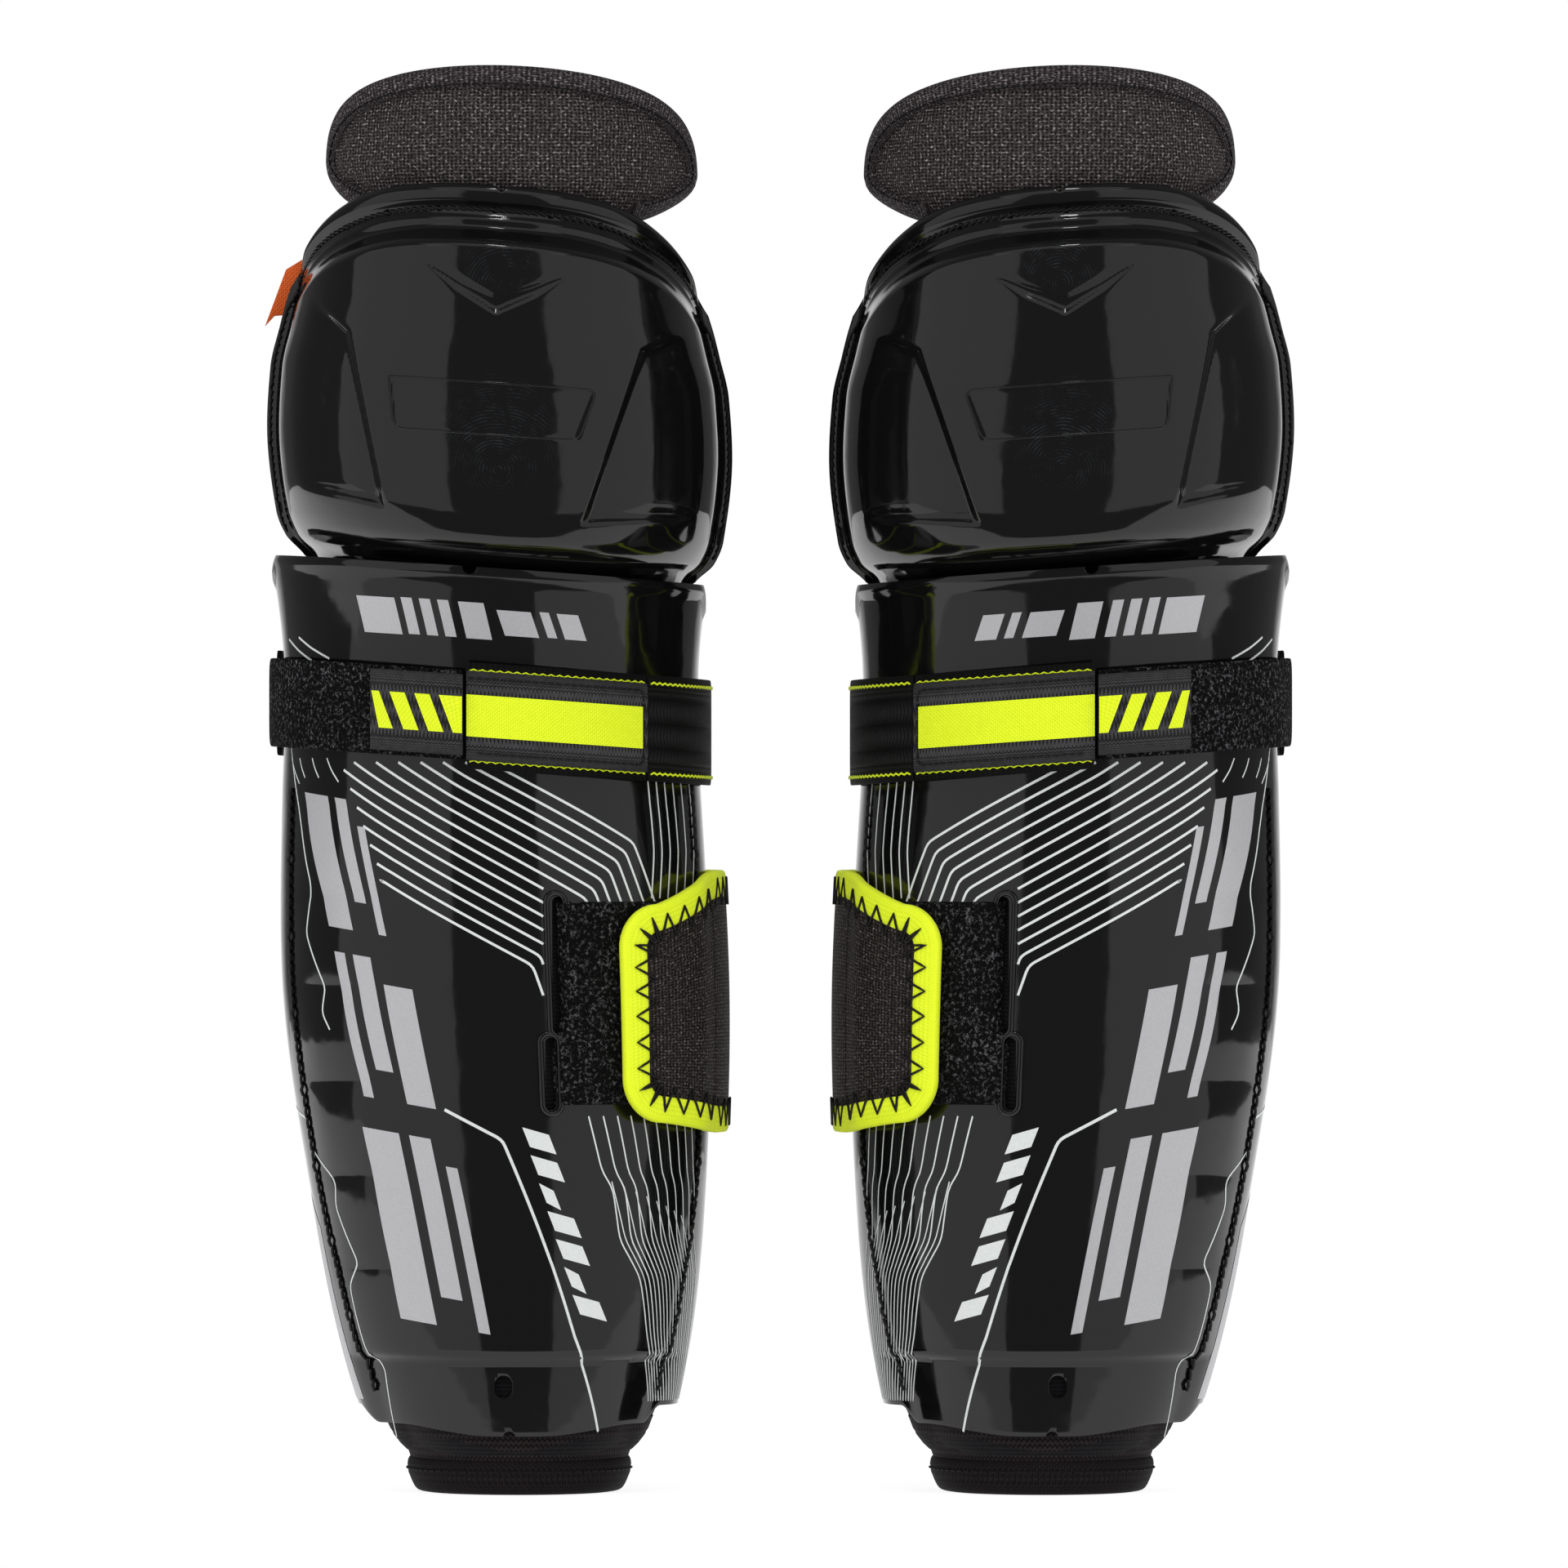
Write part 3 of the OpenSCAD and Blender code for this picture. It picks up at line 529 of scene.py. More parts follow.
def cover(
    tree: Tree,
    tone: object,
    colours: tuple[object, object],
    relief: tuple[object, float, float],
    **shader: float,
) -> None:
    """Give a material its surface.

    Args:
        tree: The material's node tree.
        tone: Where between the two colours each point lies, 0 to 1.
        colours: The dark and the light linear colour.
        relief: The height output, its strength and its depth in metres.
        shader: Values for the surface's own inputs.
    """
    height, strength, depth = relief
    bump = add(tree, "Bump", Height=height, Strength=strength, Distance=depth).outputs[0]
    base = blend(tree, tone, *colours)
    close(tree, add(tree, "BsdfPrincipled", Base_Color=base, Normal=bump, **shader).outputs[0])


def cloth(tree: Tree, across: float, up: float, turn: float = 0.0) -> Socket:
    """Return the cloth's UV map, which is in mm, scaled so that one unit is across by up mm."""
    uv = add(tree, "UVMap", {"uv_map": "Cloth"}).outputs[0]
    return add(
        tree, "Mapping", Vector=uv, Scale=(1 / across, 1 / up, 1), Rotation=(0, 0, math.radians(turn))
    ).outputs[0]


def maths(tree: Tree, operation: str, *values: object) -> Socket:
    """Return the result of a math operation on one to three values or outputs."""
    inputs = {f"in{i}": value for i, value in enumerate(values)}
    return add(tree, "Math", {"operation": operation}, **inputs).outputs[0]


def blend(tree: Tree, factor: object, dark: object, light: object) -> Socket:
    """Return a colour between two colours or colour outputs."""
    node = add(tree, "Mix", {"data_type": "RGBA"}, in0=factor, in6=dark, in7=light)
    return node.outputs[2]


def waves(tree: Tree, spot: Socket) -> tuple[Socket, Socket]:
    """Return two ridges, 0 to 1, one along each direction of a pattern with one unit per thread."""
    part = add(tree, "SeparateXYZ", Vector=spot)
    ridge = []
    for k in (0, 1):
        turn = maths(tree, "MULTIPLY", part.outputs[k], 2 * math.pi)
        ridge.append(maths(tree, "MULTIPLY_ADD", maths(tree, "SINE", turn), 0.5, 0.5))
    return ridge[0], ridge[1]


@dataclass(frozen=True)
class MouldedShell:
    """Gloss black polyethylene-type shell, injection moulded in a polished tool.

    It looks almost black, mirrors the lamps softly in long bands and shows a faint ripple; where scratch
    spots are given, it shows scratches there, with the lamp's reflection in them painted as lighter arcs.
    """

    name: str = "moulded gloss black shell"
    colour: str = "#0b0b0c"
    ripple_mm: float = 14.0
    worn: tuple[tuple[float, float, float, float], ...] = ()

    def scuffs(self, tree: Tree) -> Socket:
        """Return the weight of fine broken arcs round each scratched spot, where a painted reflection of the
        lamp in the scratches lightens the colour.

        Args:
            tree: The material's node tree.

        Returns:
            The weight, 0 to 1. Each spot is its distance from the pair's middle plane, its height and
            its half width and half height, in mm.
        """
        part = add(tree, "SeparateXYZ", Vector=places(tree, 1000.0)).outputs
        aside = maths(tree, "ABSOLUTE", part[0])
        weights = []
        for x, z, wide, tall in self.worn:
            across, up = maths(tree, "SUBTRACT", aside, x), maths(tree, "SUBTRACT", part[2], z)
            gone = maths(tree, "ADD", maths(tree, "POWER", maths(tree, "DIVIDE", across, wide), 2.0),
                         maths(tree, "POWER", maths(tree, "DIVIDE", up, tall), 2.0))
            near = stretch(tree, gone, 1.0, 0.05)
            # The arcs ring a point a little below each spot's middle, as a lamp's reflection does in fine
            # scratches; they are painted into the colour.
            low = maths(tree, "ADD", up, 0.6 * tall)
            reach = maths(tree, "SQRT", maths(tree, "ADD", maths(tree, "MULTIPLY", across, across),
                                             maths(tree, "MULTIPLY", low, low)))
            bent = maths(tree, "ADD", reach, maths(tree, "MULTIPLY", noise(tree, 14.0, 1.0), 3.5))
            swing = maths(tree, "SINE", maths(tree, "MULTIPLY", bent, 2 * math.pi / 0.75))
            arcs = maths(tree, "POWER", maths(tree, "MULTIPLY_ADD", swing, 0.5, 0.5), 5.0)
            weights.append(maths(tree, "MULTIPLY", near, arcs))
        broken = noise(tree, 3.4, 6.0, Roughness=0.75)
        keep = stretch(tree, broken, 0.48, 0.66)
        total = weights[0] if len(weights) == 1 else maths(tree, "MAXIMUM", *weights)
        return maths(tree, "MULTIPLY", total, keep)

    def make(self) -> bpy.types.Material:
        """Build the material."""
        made, tree = blank(self.name)
        ripple = noise(tree, self.ripple_mm, 2.0)
        haze = noise(tree, 6.0, 6.0, Roughness=0.7)
        rough = stretch(tree, haze, 0.35, 0.8, 0.05, 0.13)
        bump = add(tree, "Bump", Height=ripple, Strength=0.2, Distance=0.0008).outputs[0]
        colour: object = srgb(self.colour)
        if self.worn:
            painted_scratch_glint = self.scuffs(tree)
            # Painted reflection: the lamp's glint in the scratches is painted as a lighter blue-grey in the
            # colour; the scratches also raise the roughness.
            colour = blend(tree, painted_scratch_glint, colour, srgb("#2c3034"))
            rough = maths(tree, "MULTIPLY_ADD", painted_scratch_glint, 0.16, rough)
        shader = add(tree, "BsdfPrincipled", Base_Color=colour, IOR=1.5, Roughness=rough, Normal=bump)
        close(tree, shader.outputs[0])
        return made


@dataclass(frozen=True)
class PrintInk:
    """Screen-printed ink on the shell: a thin satin film a little duller than the gloss around it."""

    name: str
    colour: str
    metallic: float = 0.25

    def make(self) -> bpy.types.Material:
        """Build the material."""
        made, tree = blank(self.name)
        grain = noise(tree, 0.5, 2.0)
        tone = stretch(tree, grain, 0.3, 0.7)
        base = srgb(self.colour)
        dim = (*(c * 0.9 for c in base[:3]), 1.0)
        shader = add(
            tree, "BsdfPrincipled", Base_Color=blend(tree, tone, dim, base), Metallic=self.metallic,
            Roughness=0.36, IOR=1.5,
        )
        close(tree, shader.outputs[0])
        return made


@dataclass(frozen=True)
class WovenCloth:
    """Plain-woven polyester: fine over-and-under threads with a soft sheen."""

    name: str
    dark: str
    light: str
    thread_mm: float = 0.9
    rise_mm: float = 0.25
    roughness: float = 0.75
    sheen: float = 0.03
    turn: float = 0.0
    gloss: float = 0.12

    def make(self) -> bpy.types.Material:
        """Build the material."""
        made, tree = blank(self.name)
        spot = cloth(tree, self.thread_mm, self.thread_mm, self.turn)
        checks = add(tree, "TexChecker", Vector=spot, Scale=1.0).outputs[1]
        one, two = waves(tree, spot)
        over = add(tree, "Mix", {"data_type": "FLOAT"}, in0=checks, in2=one, in3=two).outputs[0]
        fuzz = noise(tree, 1.4, 4.0)
        tone = maths(tree, "MULTIPLY", over, maths(tree, "ADD", fuzz, 0.4))
        cover(
            tree, tone, (srgb(self.dark), srgb(self.light)), (over, 0.6, self.rise_mm / 1000),
            Roughness=self.roughness, IOR=1.45, Specular_IOR_Level=self.gloss, Sheen_Weight=self.sheen,
        )
        return made


@dataclass(frozen=True)
class MeshCloth:
    """Warp-knitted spacer mesh: rows of small round eyes, with painted glints, flecks of the light colour, on
    the walls between them.
    """

    name: str
    dark: str
    light: str
    eye_mm: float = 1.3
    glint: float = 0.52

    def make(self) -> bpy.types.Material:
        """Build the material."""
        made, tree = blank(self.name)
        spot = cloth(tree, self.eye_mm, self.eye_mm * 0.8)
        eyes = add(tree, "TexVoronoi", {"feature": "F1"}, Vector=spot, Scale=1.0, Randomness=0.25).outputs[0]
        wall = stretch(tree, eyes, 0.2, 0.62)
        glint = add(tree, "TexNoise", Vector=spot, Scale=1.3, Detail=2.0, Roughness=0.6).outputs[0]
        # Painted glints: noise flecks above the glint threshold lift the colour towards the light one.
        spark = stretch(tree, glint, self.glint, self.glint + 0.16, 0.12)
        tone = maths(tree, "MULTIPLY", wall, spark)
        cover(
            tree, tone, (srgb(self.dark), srgb(self.light)), (wall, 0.8, 0.0003),
            Roughness=0.6, IOR=1.45, Specular_IOR_Level=0.15,
        )
        return made


@dataclass(frozen=True)
class LoopPile:
    """Brushed loop pile of a hook-and-loop fastener: a black fuzz with pale glints on its loops."""

    name: str = "brushed loop pile"
    dark: str = "#0a090a"
    light: str = "#7d7b7f"
    loop_mm: float = 0.9

    def make(self) -> bpy.types.Material:
        """Build the material."""
        made, tree = blank(self.name)
        fuzz = noise(tree, self.loop_mm, 5.0, Roughness=0.75)
        patches = noise(tree, 7.0, 2.0)
        spark = stretch(tree, fuzz, 0.53, 0.72)
        tone = maths(tree, "MULTIPLY", spark, maths(tree, "ADD", patches, 0.3))
        cover(
            tree, tone, (srgb(self.dark), srgb(self.light)), (fuzz, 1.0, 0.0007),
            Roughness=0.85, IOR=1.45, Specular_IOR_Level=0.1,
        )
        return made


@dataclass(frozen=True)
class RibbedElastic:
    """Woven elastic: fine cords along its length, crossed by a tight zigzag of covering yarn."""

    name: str = "woven elastic"
    dark: str = "#080809"
    light: str = "#242324"
    rib_mm: float = 1.25

    def make(self) -> bpy.types.Material:
        """Build the material."""
        made, tree = blank(self.name)
        spot = cloth(tree, self.rib_mm, self.rib_mm)
        part = add(tree, "SeparateXYZ", Vector=spot)
        rib = maths(tree, "PINGPONG", part.outputs[1], 0.5)
        lean = maths(tree, "MULTIPLY_ADD", rib, 1.4, part.outputs[0])
        yarn = maths(tree, "PINGPONG", lean, 0.5)
        cords = maths(tree, "MULTIPLY", rib, 2.0)
        high = maths(tree, "MULTIPLY", cords, maths(tree, "MULTIPLY_ADD", yarn, 1.2, 0.4))
        cover(
            tree, high, (srgb(self.dark), srgb(self.light)), (high, 0.9, 0.0005),
            Roughness=0.6, IOR=1.45, Specular_IOR_Level=0.15,
        )
        return made


@dataclass(frozen=True)
class Plain:
    """Smooth thread, moulded plastic or bare webbing of one colour, with a grain too fine to count."""

    name: str
    colour: str
    roughness: float = 0.5
    grain_mm: float = 0.6
    depth_mm: float = 0.05

    def make(self) -> bpy.types.Material:
        """Build the material."""
        made, tree = blank(self.name)
        grain = noise(tree, self.grain_mm, 3.0)
        base = srgb(self.colour)
        dim = (*(c * 0.8 for c in base[:3]), 1.0)
        cover(
            tree, grain, (dim, base), (grain, 0.4, self.depth_mm / 1000),
            Roughness=self.roughness, IOR=1.48, Specular_IOR_Level=0.3,
        )
        return made


SHELL = MouldedShell()
# Scratch spots on the cap, where the lamp's reflection in the scratches is painted as lighter arcs.
CAP_SHELL = MouldedShell(
    "moulded gloss black cap, scuffed", worn=((64.8, 288.5, 10.5, 8.0), (66.0, 249.0, 15.0, 15.0))
)
SILVER = PrintInk("silver screen print", "#b4b4b7")
PALE = PrintInk("pale silver line print", "#d9dddc", 0.1)
POUCH = MeshCloth("charcoal brown pouch mesh", "#0f0a0a", "#a59b9c", 1.0, 0.54)
POUCH_TAPE = MeshCloth("charcoal brown pouch edging", "#140f10", "#8d8587", 0.8, 0.5)
WING = MeshCloth("black wing mesh", "#0e0a09", "#857c78", 1.05, 0.54)
NEON = WovenCloth("neon yellow binding tape", "#d2e626", "#ebfa30", 0.5, 0.06, 0.7)
NEON_PRINT = WovenCloth("neon yellow woven figure", "#c8dc1a", "#e6f52c", 0.45, 0.1, 0.5)
HEM = WovenCloth("black ballistic hem cloth", "#080606", "#2d2728", 0.95, 0.2, 0.7, 0.0, 45.0)
HEM_BAND = WovenCloth("black ribbed hem band", "#0b0809", "#1f1a1b", 0.8, 0.15, 0.7, 0.0)
LINING = WovenCloth("black brushed lining", "#0b0b0d", "#232225", 0.7, 0.12, 0.85, 0.05, 45.0)
KNEE_LINING = MeshCloth("black knee lining mesh", "#101011", "#4b494b", 1.3, 0.55)
WEBBING = WovenCloth("black satin webbing", "#0d0d0e", "#3f3e40", 0.6, 0.12, 0.45, 0.0, 45.0, 0.25)
PILE = LoopPile()
ELASTIC = RibbedElastic()
THREAD = Plain("black bonded thread", "#141314", 0.45)
DULL_THREAD = Plain("black spun thread", "#0e0d0e", 0.7)
HOOK = Plain("black moulded hook panel", "#0d0d0e", 0.6, 0.5, 0.3)
ORANGE = WovenCloth("orange folded tag", "#a8430f", "#e0642a", 0.5, 0.08, 0.6, 0.2)


# ---------------------------------------------------------------- the bench


@dataclass
class Bench:
    """Places pieces of the left guard as both guards, in metres."""

    half_spacing: float = 66.5
    centre_y: float = 6.3
    made: dict[str, bpy.types.Material] = field(default_factory=dict)
    pieces: int = 0

    def finish(self, look: object) -> bpy.types.Material:
        """Return the material of a finish, built once."""
        if look.name not in self.made:
            self.made[look.name] = look.make()
        return self.made[look.name]

    def put(
        self,
        name: str,
        mesh: Mesh,
        body: str,
        look: object,
        stands_for: Sequence[str] = (),
        slot: str = "",
        sides: Sequence[Side] = tuple(Side),
        fill: float | None = None,
    ) -> list[bpy.types.Object]:
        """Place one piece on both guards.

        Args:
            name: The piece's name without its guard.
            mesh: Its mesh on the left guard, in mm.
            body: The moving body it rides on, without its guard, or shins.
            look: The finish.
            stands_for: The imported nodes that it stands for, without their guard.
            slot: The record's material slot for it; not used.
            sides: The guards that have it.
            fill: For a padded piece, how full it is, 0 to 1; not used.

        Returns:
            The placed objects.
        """
        out = []
        for side in sides:
            data = mesh.copy()
            data.name = f"{side.word}_{name}"
            move = Matrix.Diagonal((0.001 * side.value, 0.001, 0.001, 1)) @ Matrix.Translation(
                (-self.half_spacing, self.centre_y, 0)
            )
            data.transform(move)
            if side is Side.RIGHT:
                data.flip_normals()
            data.materials.clear()
            data.materials.append(self.finish(look))
            thing = in_scene(data.name, data)
            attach(thing, body if body == "shins" else f"{side.word}_{body}")
            if stands_for:
                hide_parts(*(f"{side.word}_{node}" for node in stands_for))
            out.append(thing)
        bpy.data.meshes.remove(mesh)
        self.pieces += len(out)
        LOG.info("%s on %s: %d triangles", name, body, sum(len(p.vertices) - 2 for p in out[0].data.polygons))
        return out


# ---------------------------------------------------------------- the shin


@dataclass
class ShinForm:
    """The surface that the shell, its prints, the liner and the wrap follow."""

    foot_z: float = 8.6
    hem_z: float = 14.0
    lip_z: float = 217.5
    ledge_z: float = 32.0
    ledge_depth: float = 1.8
    waist_z: float = 190.03
    bulge_top_z: float = 166.44
    crease_pitch: float = 21.7
    crease_bulge: float = 0.55
    inner_bulge: float = 0.4
    wrap_turn: float = 88.0
    slant: float = 4.0
    hem_step: float = 4.0
    lip_half: float = 51.7
    width: Curve = field(default_factory=lambda: Curve(
        [(8.6, 31.2), (14, 35.8), (62.84, 45.9), (124.91, 50.9), (190.03, 49.1), (217.5, 51.7)]))
    front: Curve = field(default_factory=lambda: Curve([(124.91, 47), (190.03, 48), (217.5, 53)]))
    depth: Curve = field(default_factory=lambda: Curve(
        [(14, 37), (62.84, 42), (124.91, 47), (190.03, 48), (217.5, 53)]))
    lean: Curve = field(default_factory=lambda: Curve(
        [(14, 4.7), (62.84, 2.4), (124.91, -1.1), (166.63, -2.1)]))

    def at(self, a: float, z: float, off: float = 0.0, back: float = 0.0) -> Vector:
        """Return the point at turn a and height z, standing off the surface by off."""
        w, d = self.width(z) + off, self.depth(z)
        reach = d + off if cosd(a) >= 0 or back <= 0 else back + off
        return Vector((self.lean(z) + w * sind(a), d - self.front(z) - reach * cosd(a), z))

    def turn_at(self, x: float, z: float) -> float:
        """Return the turn at which the front of the surface stands at x."""
        return math.degrees(math.asin(max(-1, min(1, (x - self.lean(z)) / self.width(z)))))

    def ledge(self, a: float, z: float) -> float:
        """Return the weight of the recessed hem band, which fades out round the sides."""
        low, high = self.ledge_z - 0.8, self.ledge_z + 0.8
        return (1 - ramp(z, low, high)) * (1 - ramp(abs(a), 58, 76))

    def bulge(self, a: float, z: float) -> float:
        """Return the bulge between the flex creases, strongest on the outer side of the leg."""
        f = ((z - self.ledge_z) / self.crease_pitch) % 1
        side = ramp(abs(a), 24, 50) * (1 - ramp(abs(a), 56, 72)) * (1 if a < 0 else self.inner_bulge)
        fade = ramp(z, self.ledge_z, self.ledge_z + 4) * (
            1 - ramp(z, self.bulge_top_z - 8, self.bulge_top_z)
        )
        return side * fade * math.sin(math.pi * f) ** 0.85

    def shell_z(self, a: float, level: float) -> float:
        """Return the height on the shell at turn a for a nominal level."""
        step = (58, 66) if a > 0 else (66, 78)
        hem = 2.5 * ramp(abs(a), 10, 52) + self.hem_step * ramp(abs(a), *step)
        lip = -self.lip_half * sind(a) * tand(self.slant)
        lip -= 5 * ramp(abs(a), self.wrap_turn - 10, self.wrap_turn)
        return (
            level
            + hem * (1 - ramp(level, self.hem_z, self.ledge_z + 4))
            + lip * ramp(level, self.waist_z - 8, self.lip_z)
        )

    def skin(self, a: float, z: float, off: float = 0.0) -> Vector:
        """Return a point on the outside of the shell at its true height."""
        stand = self.crease_bulge * self.bulge(a, z) - self.ledge_depth * self.ledge(a, z)
        return self.at(a, z, off + stand)


@dataclass
class ShinShell:
    """The moulded shell with its slots, bore, edge stitching and prints."""

    form: ShinForm
    bench: Bench
    wall: float = 2.2
    slot_turn: float = 17.5
    slot_step: float = 3.0
    slot_width: float = 2.6
    slots: tuple[tuple[float, float], ...] = ((124.5, 32.0), (99.0, 17.0))
    bore_turn: float = -4.0
    bore_z: float = 25.6
    bore: float = 4.2
    proud: float = 0.09
    print_radius: float = 50.0

    def cutter(self, a: float, z: float, width: float, height: float, dip: float = 6.0) -> BMesh:
        """Return an upright capsule that cuts through the shell's wall.

        Args:
            a: The turn at which it cuts.
            z: The height of its middle.
            width: Its width, in mm.
            height: Its height, in mm.
            dip: How far it reaches on both sides of the surface, in mm.

        Returns:
            The closed capsule.
        """
        bm = bmesh.new()
        bmesh.ops.create_circle(bm, cap_ends=True, segments=32, radius=width / 2)
        for vert in bm.verts:
            vert.co.y += math.copysign(max(0.0, height - width) / 2, vert.co.y)
        extruded(bm, bm.faces[:], (0, 0, 2 * dip))
        bmesh.ops.translate(bm, verts=bm.verts, vec=(0, 0, -dip))
        spot = self.form.at(a, z)
        turn = Matrix.Translation(spot) @ Matrix.Rotation(math.radians(a), 4, "Z") @ Matrix.Rotation(
            math.radians(90), 4, "X"
        )
        bmesh.ops.transform(bm, matrix=turn, verts=bm.verts)
        bmesh.ops.recalc_face_normals(bm, faces=bm.faces)
        return bm

    def shell(self) -> None:
        """Mould the shell and cut its openings."""
        form = self.form

        def where(s: float, t: float) -> Vector:
            a = mix(-form.wrap_turn, form.wrap_turn, s)
            level = mix(form.hem_z, form.lip_z, t)
            stand = form.crease_bulge * form.bulge(a, level) - form.ledge_depth * form.ledge(a, level)
            stand += 0.6 * math.exp(-((form.lip_z - 1.2 - level) / 1.3) ** 2)
            return form.at(a, form.shell_z(a, level), stand)

        bm = drape(150, 190, where, (160, 203))
        cuts = [self.cutter(self.bore_turn, self.bore_z, self.bore, self.bore + 1.2)]
        for k, (z, height) in enumerate(self.slots):
            cuts.append(self.cutter(self.slot_turn - k * self.slot_step, z, self.slot_width, height))
        cuts.append(self.cutter(-4.5, form.lip_z + 0.2, 3.4, 3.4))
        cuts.append(self.cutter(-3.0, form.hem_z - 0.3, 3.0, 3.0))
        whole = joined(cuts)
        tool_mesh = bpy.data.meshes.new("work")
        whole.to_mesh(tool_mesh)
        whole.free()
        tool = in_scene("work_cut", tool_mesh)
        mesh = settle(
            bm,
            solid(self.wall),
            ("BOOLEAN", {"object": tool, "operation": "DIFFERENCE", "solver": "EXACT"}),
            bevel(0.35, 2, 55, use_clamp_overlap=True),
            sharp=50,
        )
        bpy.data.objects.remove(tool)
        self.bench.put("shell_moulding", mesh, "shins", SHELL, ["shin_shell"], "shell")

    def slot_rims(self) -> None:
        """Raise a moulded rim round each slot."""
        paths = []
        for k, (z, height) in enumerate(self.slots):
            a0 = self.slot_turn - k * self.slot_step
            per_mm = math.degrees(1 / self.form.width(z))
            ring = []
            for i in range(48):
                t = 2 * math.pi * i / 48
                x = (self.slot_width / 2 + 0.9) * math.cos(t)
                h = (self.slot_width / 2 + 0.9) * math.sin(t)
                h += math.copysign((height - self.slot_width) / 2, math.sin(t))
                ring.append(self.form.skin(a0 + x * per_mm / cosd(a0), z + h, 0.15))
            paths.append(ring)
        self.bench.put("slot_rims", threads(paths, 0.75, 2, ring=True), "shins", SHELL, slot="shell")

    def edge_stitches(self) -> None:
        """Run a line of thick stitches up both edges of the shell."""
        form = self.form
        low, high = 24.0, 168.0
        for word, a0, a1 in (("outer", -70.0, -62.0), ("inner", 72.0, 62.0)):
            def where(t: float, a0: float = a0, a1: float = a1) -> Vector:
                z = mix(low, high, t)
                return form.skin(mix(a1, a0, ramp(z, 30, 80)), z, 0.35)

            stitches = twisted(walk(where, 2.6), 0.4)
            self.bench.put(f"{word}_edge_stitches", threads(stitches, 0.42), "shins", THREAD)

    def ribbon(self, dots: Spots, width: float, step: float = 1.5) -> BMesh:
        """Return a printed line of the given width through points (x, z) seen from the front."""
        spots = [(self.form.turn_at(x, z), z) for x, z in eased(dots, 1.6)]
        return self.line(spots, width, step)

    def line(self, spots: Spots, width: float, step: float = 1.5) -> BMesh:
        """Return a printed line that bends with the shell.

        Args:
            spots: The points that it runs through, as turn and height.
            width: Its width, in mm.
            step: How long its faces are at most, in mm.

        Returns:
            The flat line.
        """
        mm = self.print_radius * math.pi / 180
        flat = [Vector((a * mm, z)) for a, z in spots]
        sides = []
        for i, spot in enumerate(flat):
            into = (spot - flat[i - 1]).normalized() if i else None
            out = (flat[i + 1] - spot).normalized() if i < len(flat) - 1 else None
            along = ((into or out) + (out or into)).normalized()
            normal = Vector((-along.y, along.x))
            sides.append(normal / max(0.5, normal.dot(Vector((-(out or into).y, (out or into).x)))))
        total = [0.0]
        for a, b in zip(flat, flat[1:]):
            total.append(total[-1] + (b - a).length)
        marks = sorted({*total, *(k * step for k in range(int(total[-1] / step)))})

        def where(s: float, t: float) -> Vector:
            gone = marks[min(len(marks) - 1, round(s * (len(marks) - 1)))]
            i = next((k for k in range(len(total) - 2) if gone < total[k + 1]), len(total) - 2)
            f = (gone - total[i]) / max(1e-6, total[i + 1] - total[i])
            spot = flat[i].lerp(flat[i + 1], f) + sides[i].lerp(sides[i + 1], f) * (t - 0.5) * width
            return self.form.skin(spot.x / mm, spot.y, self.proud)

        return drape(len(marks) - 1, 1, where, (total[-1], width))

    def block(self, corners: Spots) -> BMesh:
        """Return a printed four-cornered block from its corners (x, z), from the low left one round."""
        return self.turned([(self.form.turn_at(x, z), z) for x, z in corners], 14)

    def print_sheet(self, name: str, parts: Iterable[BMesh], look: PrintInk) -> None:
        """Join printed parts into one thin film and place it."""
        whole = joined(parts)
        bmesh.ops.recalc_face_normals(whole, faces=whole.faces)
        for face in whole.faces:
            centre = face.calc_center_median()
            if face.normal.dot(Vector((centre.x, centre.y + 5, 0))) < 0:
                face.normal_flip()
        self.bench.put(name, settle(whole, solid(0.05)), "shins", look)

    def turned(self, corners: Spots, rows: int = 24) -> BMesh:
        """Return a printed four-cornered block from its corners (turn, height)."""
        return quad(corners, (14, rows), lambda a, z: self.form.skin(a, z, self.proud), (10, 10))

    def pinstripes(self) -> list[BMesh]:
        """Return the fan of fine lines that runs from the outer top down the inner side."""
        out = []
        for i in range(14):
            x, z = 31.7 - 1.79 * i, 153.3 - 2.227 * i
            bend = (x - 36.0, z + 36.0 * 0.56)
            far = (-26.5 - 1.6 * max(0, 13 - i), 0.0)
            end = (far[0], bend[1] + (bend[0] - far[0]) * 0.64)
            tail = (x + 7.4, z - 21.0) if x > 14.0 else (11.6, z - (11.6 - x) / 0.354)
            out.append(self.ribbon(self.until_slot(self.below([end, bend, (x, z), tail], 172.0)), 0.6))
        for k in range(6):
            x = 35.9 + 1.9 * k
            out.append(self.ribbon([(x - 0.8, 169.5), (x, 160), (x + 0.6, 151), (x + 0.2, 140)], 0.45))
        inner = (
            (89.0, 25.0, 4.5), (76.0, 28.9, 4.4), (72.1, 32.4, 4.2), (59.8, 35.0, 4.1),
            (51.0, 43.2, 3.9), (37.5, 48.0, 3.6), (21.6, 58.2, 3.1),
        )
        for k in range(10):
            out.append(self.line(eased([(turn + step * k, z) for z, turn, step in inner]), 0.38))
        for k in range(8):
            start = 73.6 - 1.2 * k
            rest = [(turn + step * (k + 0.5), z) for z, turn, step in inner[3:]]
            out.append(self.line(eased([(31.6 + 4.2 * k + 0.5, start), *rest]), 0.3))
        z = 173
        for x, dx, dz in ((-48.9, 1.9, 6.0), (-46.9, 1.3, 4.6), (-43.8, 1.6, 4.6), (-40.2, 2.8, 5.6)):
            out.append(self.ribbon([(x, z), (x + 0.36 * dx, z - 0.5 * dz), (x + dx, z - dz)], 0.35))
        return out

